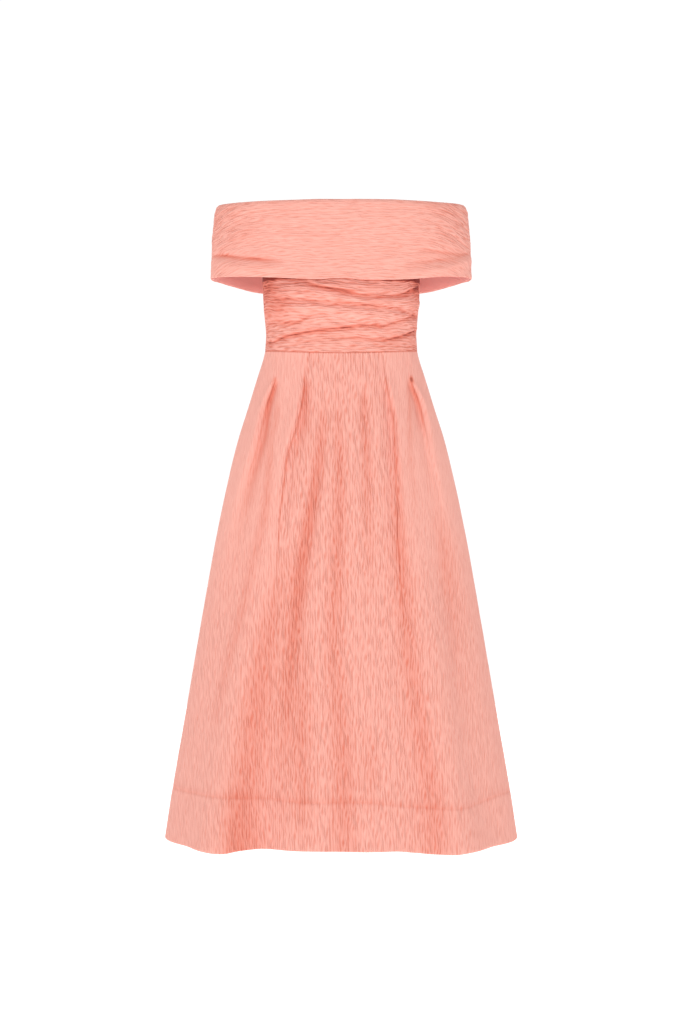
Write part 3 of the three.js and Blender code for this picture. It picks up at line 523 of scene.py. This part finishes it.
def clothMaterial(name, look):
    material = plainMaterial(name, look["colour"], look["surface"])
    tree = material.node_tree
    shader = tree.nodes["Principled BSDF"]
    uv = addNode(tree, "UVMap", uv_map="cloth")
    paintedShade = addNode(tree, "Attribute", output="Fac", attribute_name="crease")
    toneAndShade = addNode(tree, "Math", {0: paintedShade, 1: look["paintedShadeStrength"]}, operation="MULTIPLY")
    height = addNode(tree, "Math", {0: weave(tree, uv, look["weave"]), 1: look["weave"]["height"] * mm},
                     operation="MULTIPLY")
    layer = look.get("puckers")
    if layer:
        lively = addNode(tree, "Attribute", output="Fac", attribute_name="pucker")
        dip = addNode(tree, "Math", {0: puckerDepth(tree, uv, layer), 1: lively}, operation="MULTIPLY")
        height = addNode(tree, "Math", {0: dip, 1: -layer["height"] * mm, 2: height},
                         operation="MULTIPLY_ADD")
        # painted shade in the puckers' creases, on top of the crease mark
        toneAndShade = addNode(tree, "Math", {0: dip, 1: layer["toneAndShade"], 2: toneAndShade},
                       operation="MULTIPLY_ADD", use_clamp=True)
    # The colour runs from the cloth's own colour to the deep and darkest colours of painted shade, as far as
    # the crease mark and the puckers say
    ramp = addNode(tree, "ValToRGB", {0: toneAndShade})
    stops = ramp.node.color_ramp.elements
    stops.new(0.5)
    for stop, code in zip(stops, (look["colour"], look["deep"], look["darkest"])):
        stop.color = linear(code)
    tree.links.new(ramp, shader.inputs["Base Color"])
    bump = addNode(tree, "Bump", {"Strength": look["bump"], "Distance": 1.0, "Height": height})
    tree.links.new(bump, shader.inputs["Normal"])
    return material


print("materials")
# Crinkled viscose crepe: matt, with a soft bloom at grazing angles and fine puckers along the grain.
# Each noise has its stretch over the puckers, a shift and the range that it is spread from and to.
# The deep and darkest colours are painted shade, and the puckers also paint shade into their creases
crepe = clothMaterial("crinkledCrepe", {
    "colour": "#f6b4a6", "deep": "#e07e6a", "darkest": "#8c352b", "paintedShadeStrength": 1.0, "bump": 0.8,
    "surface": {"Roughness": 0.86, "Sheen Weight": 0.06, "Sheen Roughness": 0.45, "Specular IOR Level": 0.15},
    "puckers": {"across": 0.0039, "along": 0.014, "slant": 0.8, "height": 0.8, "toneAndShade": 0.23, "noises": (
        ((0.33, 0.55), 3.1, (0.0, 1.0, -0.7, 0.7)), ((0.7, 0.9), 8.7, (0.36, 0.62, 0.4, 1.0)),
        ((1.3, 1.2), 5.3, (0.3, 0.7, 0.28, 0.0)))},
    "weave": {"across": 0.0012, "along": 0.004, "detail": 1.0, "height": 0.12}})
# Smooth polyester lining: finer, a little shinier and pinker
lining = clothMaterial("smoothLining", {
    "colour": "#fbb0a8", "deep": "#db6a62", "darkest": "#8c352b", "paintedShadeStrength": 1.0, "bump": 0.4,
    "surface": {"Roughness": 0.62, "Sheen Weight": 0.1, "Sheen Roughness": 0.5, "Specular IOR Level": 0.3},
    "weave": {"across": 0.0009, "along": 0.0009, "detail": 0.0, "height": 0.03}})
# Woven zip tape: a fine rib
tapeWeave = clothMaterial("zipTapeWeave", {
    "colour": "#eaa094", "deep": "#d5786a", "darkest": "#a05044", "paintedShadeStrength": 0.6, "bump": 0.6,
    "surface": {"Roughness": 0.8, "Sheen Weight": 0.15, "Sheen Roughness": 0.5, "Specular IOR Level": 0.25},
    "weave": {"across": 0.0008, "along": 0.02, "detail": 0.0, "height": 0.08}})
# Zinc slider and pull in a smooth baked enamel, and the zip's nylon coil
enamel = plainMaterial("enamelledZinc", "#e8a596",
                       {"Roughness": 0.32, "Coat Weight": 0.3, "Coat Roughness": 0.2})
nylon = plainMaterial("nylonCoil", "#eda99b", {"Roughness": 0.45})
nylon = plainMaterial("nylonCoil", "#eda99b", {"Roughness": 0.45})

spans = {  # from, to and centre line of the panels that go round the front and each half of the back
    "front": (-sideSeam, sideSeam, 0),
    "back_left": (sideSeam, centreBack, centreBack),
    "back_right": (centreBack, centreBack + sideSeam, centreBack),
}


def place(name, piece, material, body="dress"):
    piece.data.materials.append(material)
    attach(piece, body)
    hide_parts(name)


def placeCloth(name, plan, z, out, thickness, inside, uv, deep, lively=1.0,
               material=crepe):
    outer = wallPoints(plan, z, out)
    inner = wallPoints([part[inside] for part in plan], z[inside], out[inside] - thickness)
    place(name, clothWall(name, outer, inner, inside, uv, deep, lively), material)


print("skirt")
skirtLook = {
    "rowStep": 3.5, "closeStep": 1.3, "seamFade": 14.0, "waistFade": 10.0, "innerEvery": 4,
    "stitchDip": 0.6, "stitchWidth": 2.3, "stitchSpacing": 9.0,
    # painted shade along the hem stitching, above it and at the waist seam
    "stitchShade": 0.08, "turnUpShade": 0.07, "waistShade": 0.35,
    "crinkle": {"spacing": 9.0, "length": 46.0, "depth": 0.22, "wander": 1.1, "slip": 2.4,
                "swell": 0.3, "swellSpacing": 38.0, "swellLength": 170.0},
    "hemDip": through([-0.8, -0.68, -0.59, -0.53, -0.46, -0.4, 0.28, 0.4, 0.48, 0.55, 0.63, 0.72, 0.8],
                      [0.3, 3.2, 4.8, 1.2, 0, 0, 0, 3.5, 5.5, 5.5, 3.5, 2.2, 1.2]),
}
skirtPanels = {
    "front": {"pleats": pleatLines["front"], "seed": 11, "columns": [36, 10, 34, 10, 92, 10, 30, 10, 36]},
    "back_left": {"pleats": pleatLines["back"][:1:-1], "seed": 31, "columns": [30, 8, 34, 8, 34]},
    "back_right": {"pleats": pleatLines["back"][1::-1], "seed": 51, "columns": [30, 8, 34, 8, 34]},
}
stitchLine = lines(table(
    ("x", "z"), (-250, -686), (-190, -687), (-120, -690), (-40, -694), (30, -693), (110, -701),
    (167, -704), (210, -700), (250, -692)), "x")["z"]


def skirtHeights(look):  # rows from the hem up, closer at the hem stitching and the waist seam
    marks = [-hem["drop"], -762, -712, -680, -14, 0]
    close, wide = look["closeStep"], look["rowStep"]
    runs = [evenly(a, b, max(2, round((b - a) / step)))[:-1]
            for a, b, step in zip(marks, marks[1:], (close, wide, close, wide, close))]
    return np.concatenate(runs + [[0.0]])


def skirtAngles(panel, z, first, last):
    halfWidth, halfDepth, squareness = sizesAt(skirtShape, z)
    start, end = panelEdges(first, last, z, halfWidth, halfDepth)
    marks = [start]
    for pleat in panel["pleats"]:
        pair = [angleAt(pleat["x"](z) + side * pleatEdge, halfWidth, squareness) for side in (-1, 1)]
        # In the back the angles are mirrored from the front half
        marks += pair if first < 0 else [(3 * centreBack - angle) % 360 for angle in pair[::-1]]
    marks.append(end)
    runs = [mix(a[:, None], b[:, None], evenly(0, 1, count)[:-1])
            for a, b, count in zip(marks, marks[1:], panel["columns"])]
    return np.concatenate(runs + [marks[-1][:, None]], 1)


def skirtPiece(part, span, panel, look):
    first, last, centre = span
    rows = skirtHeights(look)
    angles = skirtAngles(panel, rows, first, last)
    rise = np.clip((rows + 16) / 16, 0, 1)[:, None]
    z = rows[:, None] + (waistHeight(angles) - cloth["seamGap"] / 2) * rise
    if part == "front":  # the hem hangs a little lower at its two flutes
        low = smoothStep(-640, -hem["drop"], rows)[:, None]
        z = z - look["hemDip"](np.sin(np.radians(angles))) * low
    plan = planPoint(angles, *sizesAt(skirtShape, z))
    relief, shade = skirtRelief(angles, plan[0], z, "front" if part == "front" else "back")
    reach = fromCentre(wallPoints(plan, z, relief), angles, centre)
    height, crease = crinkle(reach, z, panel["seed"], look["crinkle"])
    fade = awayFromEdges(reach, look["seamFade"]) * smoothStep(0, look["waistFade"], waistHeight(angles) - z)
    aboveStitch = z - stitchLine(plan[0])
    stitch = bell(aboveStitch, look["stitchWidth"])
    stitch = stitch * (0.8 + 0.2 * np.cos(2 * math.pi * reach / look["stitchSpacing"]))
    relief = relief + height * fade - stitch * look["stitchDip"]
    turnUp = -hem["drop"] + hem["turnUp"]
    edge = np.searchsorted(rows, (turnUp, turnUp + hem["step"])).tolist()
    inside = everyFew(len(rows), look["innerEvery"], edge)
    thickness = np.where(rows[inside] <= turnUp + 0.5, hem["thickness"], cloth["thickness"])[:, None]
    # Painted shade above the hem stitching, along it and at the waist seam, added to that of the pleats and
    # folds
    shadeAboveStitch = bell(aboveStitch - 2, np.where(aboveStitch > 2, 7, 3))
    waist = smoothStep(-1.6, -0.3, z - waistHeight(angles))
    deep = shade + look["stitchShade"] * stitch + look["turnUpShade"] * shadeAboveStitch + look["waistShade"] * waist
    lively = mix(1.2, 0.98, smoothStep(0.4, 0.75, np.abs(plan[0]) / skirtShape["halfWidth"](z)))
    if part == "front":  # calmer cloth outside the two inner pleats
        inner = [pleat["x"](z) for pleat in panel["pleats"][1:3]]
        beyond = np.maximum(inner[0] - plan[0], plan[0] - inner[1])
        lively = lively * (1 - 0.4 * smoothStep(0, 5, beyond) * smoothStep(-430, -200, z))
    placeCloth(f"skirt_{part}", plan, z, relief, thickness, inside, np.stack([reach, z], -1),
               np.clip(deep, 0, 1), lively)


for part, span in spans.items():
    skirtPiece(part, span, skirtPanels[part], skirtLook)

print("bodice")
bodiceLook = {
    "seed": 71, "shownRows": 84, "hiddenRows": 26, "innerEvery": 2, "seamFade": 26.0, "waistFade": 8.0,
    "crispness": 0.8, "pucker": 1.25, "columns": {0: 230, centreBack: 100},  # by centre line
    # painted shade under the band, at the sides, at the waist seam and in the crinkle's creases
    "bandShade": 0.8, "bandRadius": 218, "sideShade": 0.1, "waistShade": 0.35, "creaseShade": 0.12,
    "crinkle": {"spacing": 6.5, "length": 60.0, "depth": 0.8, "wander": 0.6, "slip": 0.8,
                "swell": 1.2, "swellSpacing": 12.0, "swellLength": 110.0},
}
# The two courses that the bodice's puckers follow, near the waist and near the band
lowDrape = lines(table(
    ("x", "z"), (-122, -8), (-91, -6), (-53, -4), (-17, -1), (3, 1), (40, 5), (65, 5), (88, 8),
    (122, 13)), "x")["z"]
highDrape = lines(table(
    ("x", "z"), (-122, 14), (-85, 10), (-61, 8), (-37, 6), (-12, 3), (14, -1), (33, -3), (61, -3),
    (92, -1), (110, 5), (122, 8)), "x")["z"]


def bodiceShade(x, z, front, look):  # painted shade: the band's contact shadow, the sides, the upper corners and two soft hollows in front
    angle = np.degrees(np.arcsin(np.clip(x / look["bandRadius"], -1, 1)))  # about where the band passes
    under = bandEdge["low"](angle) + 4.5 - z
    corners = 0.26 * smoothStep(-86, -120, x) + 0.5 * smoothStep(110, 121, x)
    hollows = 0.24 * bell(x + 98, 20) * bell(z - 74, 20) + 0.14 * bell(x - 85, 28) * bell(z - 14, 10)
    inFront = (corners * smoothStep(80, 108, z) + hollows) * front
    sides = look["sideShade"] * smoothStep(95, 121, np.abs(x))
    return sides + look["bandShade"] * smoothStep(5.8, 2.6, under) + inFront


def bodicePiece(part, span, look):
    first, last, centre = span
    shares = evenly(0, 1, look["columns"][centre])[None, :]
    nominal = mix(first, last, shares)
    low, top = waistHeight(nominal) + cloth["seamGap"] / 2, bodiceTopHeight(nominal)
    shown = mix(low, bodiceTop["visible"], evenly(0, 1, look["shownRows"])[:, None])
    hidden = mix(bodiceTop["visible"] + 0 * top, top, evenly(0, 1, look["hiddenRows"])[1:, None])
    z = np.concatenate([shown, hidden])
    sizes = sizesAt(bodiceShape, z)
    angles = mix(*panelEdges(first, last, z, *sizes[:2]), shares)
    plan = planPoint(angles, *sizes)
    aboveWaist = z - waistHeight(angles)
    front = smoothStep(0, 0.2, np.cos(np.radians(angles))) * smoothStep(2, 12, z)
    relief, shade = crossRelief(bodiceFolds, plan[0], z, look["crispness"])
    shade = shade * front + bodiceShade(plan[0], z, front, look)
    # painted shade at the waist seam
    shade = shade + look["waistShade"] * smoothStep(2.2, 0.4, aboveWaist)
    reach = fromCentre(wallPoints(plan, z, 0), angles, centre)
    drape = mix(lowDrape(plan[0]) * smoothStep(0, 60, z), highDrape(plan[0]), smoothStep(10, 112, z))
    course = z - drape * front
    height, crease = crinkle(course, reach, look["seed"] + abs(first), look["crinkle"])
    fade = awayFromEdges(reach, look["seamFade"]) * smoothStep(0, look["waistFade"], aboveWaist)
    # painted shade in the crinkle's creases
    deep = np.clip(shade + look["creaseShade"] * crease * fade, 0, 1)
    placeCloth(f"bodice_{part}", plan, z, relief * front + height * fade, cloth["thickness"],
               everyFew(len(z), look["innerEvery"]), np.stack([course, reach], -1), deep, look["pucker"])


for part, span in spans.items():
    bodicePiece(part, span, bodiceLook)

print("band")
bandLook = {
    "seed": 131, "rows": 96, "innerEvery": 2, "seamFade": 20.0, "toneAndShade": 0.03,
    "columns": {0: 300, centreBack: 140},  # by centre line
    "crinkle": {**bodiceLook["crinkle"], "depth": 0.75, "swell": 0.7, "swellSpacing": 16.0},
    "lining": {"depth": cloth["thickness"] + cloth["seamGap"], "rows": 30, "low": 0.008, "high": 0.9,
               "innerEvery": 3, "shadow": 0.3, "columns": {0: 150, centreBack: 70}},
}
# The course that the band's puckers follow: level in the middle, falling towards its two ends
archLine = lines(table(
    ("x", "z"), (-209, -30), (-185, -16), (-150, -4), (-110, 0), (0, 0), (110, 0), (150, -4), (185, -16),
    (209, -30)), "x")["z"]


def bandGrid(first, last, columns, shares):
    share = shares[:, None]
    sizes = sizesAt(bandShape, share)
    z = mix(bandEdge["low"](first), bandEdge["top"](first), share)
    angles = mix(*panelEdges(first, last, z, *sizes), evenly(0, 1, columns)[None, :])
    plan = planPoint(angles, *sizes, bandSquareness)
    low = bandEdge["low"](angles)
    z = mix(low, bandEdge["top"](angles), share)
    front = smoothStep(0, 0.15, np.cos(np.radians(angles)))
    relief, shade = crossRelief(bandFolds, plan[0], z, 1.0)
    # painted shade in the tucks, only in front
    return angles, plan, z, z - low, relief * front, 1.5 * shade * front


def bandPiece(part, span, look):
    first, last, centre = span
    columns = look["columns"][centre]
    angles, plan, z, up, relief, shade = bandGrid(first, last, columns, evenly(0, 1, look["rows"]))
    reach = fromCentre(wallPoints(plan, z, 0), angles, centre)
    course = z - archLine(plan[0])
    height, crease = crinkle(course, reach, look["seed"] + abs(first), look["crinkle"])
    fade = awayFromEdges(reach, look["seamFade"])
    ends = smoothStep(110, 185, np.abs(plan[0])) * smoothStep(0.25, 0.5, up / 120)
    relief = relief + height * fade * mix(1.0, 1.7, ends)
    # The band's whole colour a little deeper all over, with painted shade in its tucks and in the crinkle's
    # creases, more towards the ends
    deep = np.clip(look["toneAndShade"] + shade + mix(0.08, 0.16, ends) * crease * fade, 0, 1)
    placeCloth(f"band_{part}", plan, z, relief, cloth["thickness"], everyFew(len(z), look["innerEvery"]),
               np.stack([course, reach], -1), deep, mix(0.65, 0.95, ends))


def liningPiece(part, span, look):  # a smooth skin just inside the band
    first, last, centre = span
    shares = evenly(look["low"], look["high"], look["rows"])
    angles, plan, z, up, relief, _ = bandGrid(first, last, look["columns"][centre], shares)
    relief = np.where(relief < 0, 1.5 * relief - 1.5 * smoothStep(0, -1, relief), 0.3 * relief)
    reach = fromCentre(wallPoints(plan, z, relief - look["depth"]), angles, centre)
    # Painted shade inside the band, deeper upwards, and a painted contact shadow at the bodice's edges, on
    # the back half only
    liningShadow = smoothStep(5, 17, up) + bell(np.abs(plan[0]) - 125, 7) * smoothStep(5, 14, up)
    placeCloth(f"band_lining_{part}", plan, z, relief - look["depth"], cloth["liningThickness"],
               everyFew(len(z), look["innerEvery"]), np.stack([reach, z], -1),
               look["shadow"] * liningShadow * (plan[1] > 0), 1.0, lining)


for part, span in spans.items():
    bandPiece(part, span, bandLook)
    liningPiece(part, span, bandLook["lining"])

print("zip")
zipLook = {
    "top": 204.0, "bottom": -172.0, "thickness": 1.2, "standOff": 0.6, "rows": 190, "innerEvery": 2,
    "halfTape": [13, 11.5, 9.5, 7.5, 5.5, 3.5, 2.2, 1.1, 0.4],
    "coil": {"pitch": 1.5, "to": 2.5, "rise": 1.4, "width": 0.85, "stopLow": -168.0, "stopHigh": 203.0},
    "slider": {"halfWidth": 3.6, "low": 204.6, "high": 215.6, "thickness": 4.2, "neckHalf": 0.7, "plate": 1.3,
               "wall": 0.9, "eyeRadius": 3.2, "holeRadius": 1.7, "setBack": 1.5},
    "pull": {"barRadius": 1.1, "armInner": 1.4, "armOuter": 2.8, "armDrop": 7.0, "length": 24.0,
             "halfWidth": 3.6, "halfThickness": 0.8, "clearOfBand": 3.6},
}
tapeDepth = cloth["thickness"] + cloth["seamGap"] + zipLook["standOff"]


def backPoint(x, z, depth):  # a point inside the centre back, x to the side of the seam
    x, z = np.broadcast_arrays(np.asarray(x, float), np.asarray(z, float))
    sizes = [np.where(z > 0, *pair) for pair in zip(sizesAt(bodiceShape, z), sizesAt(skirtShape, z))]
    angle = centreBack - angleAt(x.copy(), sizes[0], sizes[2])
    plan = planPoint(angle, *sizes)
    relief = np.where(z > 0, 0, skirtRelief(angle, plan[0], z, "back")[0])
    return wallPoints(plan, z, relief - depth)


def zipTape(look):
    half = look["halfTape"]
    x = np.array([*half, 0, *(-at for at in reversed(half))])
    z = evenly(look["bottom"], look["top"], look["rows"])[:, None]
    groove = 0.35 * bell(x, 0.5)[None, :]
    outer = backPoint(x, z, tapeDepth + groove)
    inside = everyFew(len(z), look["innerEvery"])
    inner = backPoint(x, z[inside], tapeDepth + look["thickness"])
    uv = np.stack(np.broadcast_arrays(x[None, :], z), -1)
    # painted shade along the groove down the tape's middle
    piece = clothWall("zip_tape", outer, inner, inside, uv, np.tile(bell(x, 0.6), (len(z), 1)))
    place("zip_tape", piece, tapeWeave)


def box(low, high):
    points = [(x, y, z) for x in (low[0], high[0]) for y in (low[1], high[1]) for z in (low[2], high[2])]
    return points, [(0, 1, 3, 2), (4, 6, 7, 5), (0, 4, 5, 1), (2, 3, 7, 6), (0, 2, 6, 4), (1, 5, 7, 3)]


def merged(parts):  # several lists of points and faces as one
    points, faces = [], []
    for some, sides in parts:
        faces += [tuple(i + len(points) for i in side) for side in sides]
        points += list(some)
    return points, faces


def coil(look, depth):  # two rows of small nylon loops that meet on the tape's inner face
    count = int((look["stopHigh"] - look["stopLow"]) / look["pitch"])
    across = np.array([-0.35, 1.0, look["to"] - 0.4, look["to"]])
    rise = np.array([0.75, 1.0, 0.9, 0.35]) * look["rise"]
    around, lift = np.array([-0.5, -0.4, 0.0, 0.4, 0.5]) * look["width"], np.array([0.0, 0.8, 1.0, 0.8, 0.0])
    loop = [(5 * i + j, 5 * i + (j + 1) % 5, 5 * i + 5 + (j + 1) % 5, 5 * i + 5 + j)
            for i in range(3) for j in range(5)]
    loop += [(4, 3, 2, 1, 0), (15, 16, 17, 18, 19)]
    parts = []
    for side in (-1, 1):
        z = look["stopLow"] + (np.arange(count) + 0.25 * side) * look["pitch"]
        x = np.broadcast_to((across * side)[None, :, None], (count, 4, 5))
        points = backPoint(x, z[:, None, None] + around, depth + rise[None, :, None] * lift)
        faces = [face[::-1] for face in loop] if side > 0 else loop
        parts += [(ring.reshape(-1, 3).tolist(), faces) for ring in points]
    return meshObject("zipCoil", *merged(parts))


def bevelled(name, parts, width):
    piece = meshObject(name, *merged(parts))
    edge = piece.modifiers.new("edge", "BEVEL")
    edge.width, edge.segments, edge.limit_method = width * mm, 2, "ANGLE"
    return piece


def barAlongX(radius, half, y, z, sides, hole=0.0):
    def circle(r, x):
        return [(x, y + r * math.cos(t), z + r * math.sin(t))
                for t in np.linspace(0, 2 * math.pi, sides, endpoint=False)]

    n, after = sides, [*range(1, sides), 0]
    points = circle(radius, -half) + circle(radius, half)
    faces = [(i, n + i, n + after[i], after[i]) for i in range(n)]
    if not hole:
        return points, faces + [tuple(range(n)), tuple(range(2 * n - 1, n - 1, -1))]
    points += circle(hole, -half) + circle(hole, half)
    faces += [(2 * n + i, 2 * n + after[i], 3 * n + after[i], 3 * n + i) for i in range(n)]
    faces += [(i, after[i], 2 * n + after[i], 2 * n + i) for i in range(n)]
    faces += [(n + i, 3 * n + i, 3 * n + after[i], n + after[i]) for i in range(n)]
    return points, faces


pivotY = float(bandShape["halfDepth"](0.85)) + zipLook["pull"]["clearOfBand"]
pivotZ = (zipLook["slider"]["low"] + zipLook["slider"]["high"]) / 2


def zipSlider(look):
    half, low, high, plate = (look[key] for key in ("halfWidth", "low", "high", "plate"))
    neck, wall = look["neckHalf"], look["wall"]
    inner = float(bodiceShape["halfDepth"](low)) - cloth["thickness"] - look["thickness"] - look["setBack"]
    outer = inner + look["thickness"]
    parts = [box((-half, y, low), (half, y + plate, high)) for y in (inner, outer - plate)]
    parts.append(box((-0.9, inner + plate, high - 5), (0.9, outer - plate, high)))
    parts += [box((x, inner + 0.6, low), (x + wall, outer - 0.6, high)) for x in (-half, half - wall)]
    parts.append(box((-neck, outer - 0.4, low + 2), (neck, pivotY - 2.4, high - 2)))
    parts.append(barAlongX(look["eyeRadius"], neck, pivotY, pivotZ, 28, look["holeRadius"]))
    place("zip_slider", bevelled("zip_slider", parts, 0.3), enamel)


def zipPull(look):
    half, inner, outer, wide = (look[key] for key in ("halfThickness", "armInner", "armOuter", "halfWidth"))
    foot, shoulder = pivotZ - look["length"] + wide, pivotZ - look["armDrop"]
    turn = np.linspace(math.pi, 2 * math.pi, 13)
    outline = [(-outer, pivotZ)] + [(wide * math.cos(t), foot + wide * math.sin(t)) for t in turn]
    outline += [(outer, pivotZ), (inner, pivotZ), (inner, shoulder), (-inner, shoulder), (-inner, pivotZ)]
    n = len(outline)
    points = [(x, pivotY + y, z) for y in (-half, half) for x, z in outline]
    sides = [(i, n + i, n + (i + 1) % n, (i + 1) % n) for i in range(n)]
    plate = (points, sides + [tuple(range(n)), tuple(range(2 * n - 1, n - 1, -1))])
    bar = barAlongX(look["barRadius"], outer, pivotY, pivotZ, 20)
    place("zip_pull", bevelled("zip_pull", [plate, bar], 0.25), enamel, "zip_pull")


zipTape(zipLook)
teeth = coil(zipLook["coil"], tapeDepth + zipLook["thickness"])
teeth.data.materials.append(nylon)
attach(teeth, "dress")
zipSlider(zipLook["slider"])
zipPull(zipLook["pull"])

print("camera and light")
floorLook = {"half": 9000, "z": -1250, "colour": "#ffffff", "glow": 0.6}
cameraLook = {"lens": 87.89, "sensor": 36.0, "place": (0.0005, -4.0, -0.249), "turn": (math.pi / 2, 0, 0)}
floorPoints = [(x * floorLook["half"], y * floorLook["half"], floorLook["z"])
               for x, y in ((-1, -1), (1, -1), (1, 1), (-1, 1))]
floor = meshObject("floor", floorPoints, [(0, 1, 2, 3)])
floor.data.materials.append(plainMaterial("paleFloor", floorLook["colour"], {
    "Roughness": 0.9, "Emission Color": (1, 1, 1, 1), "Emission Strength": floorLook["glow"]}))

camera = bpy.data.objects.new("camera", bpy.data.cameras.new("camera"))
camera.data.lens, camera.data.sensor_width = cameraLook["lens"], cameraLook["sensor"]
camera.location, camera.rotation_euler = cameraLook["place"], cameraLook["turn"]
bpy.context.scene.collection.objects.link(camera)
bpy.context.scene.camera = camera


def softLight(name, spot, size, power, aim=(0, 0, -0.25)):
    lamp = bpy.data.lights.new(name, "AREA")
    lamp.shape, lamp.size, lamp.energy = "DISK", size, power
    light = bpy.data.objects.new(name, lamp)
    light.location = spot
    toward = [b - a for a, b in zip(spot, aim)]
    level = math.hypot(toward[0], toward[1])
    light.rotation_euler = (math.atan2(level, -toward[2]), 0, math.atan2(-toward[0], toward[1]))
    bpy.context.scene.collection.objects.link(light)


softLight("key", (-1.1, -2.9, 1.4), 2.0, 33)
softLight("fill", (1.7, -3.0, 0.6), 2.2, 16)

# A dim room with a white wall behind the dress: from y, to y, and the light there
roomLook = {1: -0.6, 2: 0.9, 3: 0.42, 4: 1.04}
world = bpy.data.worlds.new("studio")
world.use_nodes = True
tree = world.node_tree
toward = addNode(tree, "TexCoord", output="Generated")
behind = addNode(tree, "SeparateXYZ", {0: toward}, 1)
strength = addNode(tree, "MapRange", {0: behind, **roomLook})
background = tree.nodes["Background"]
background.inputs["Color"].default_value = (1, 1, 1, 1)
tree.links.new(strength, background.inputs["Strength"])
bpy.context.scene.world = world
bpy.context.scene.view_settings.view_transform = "Standard"
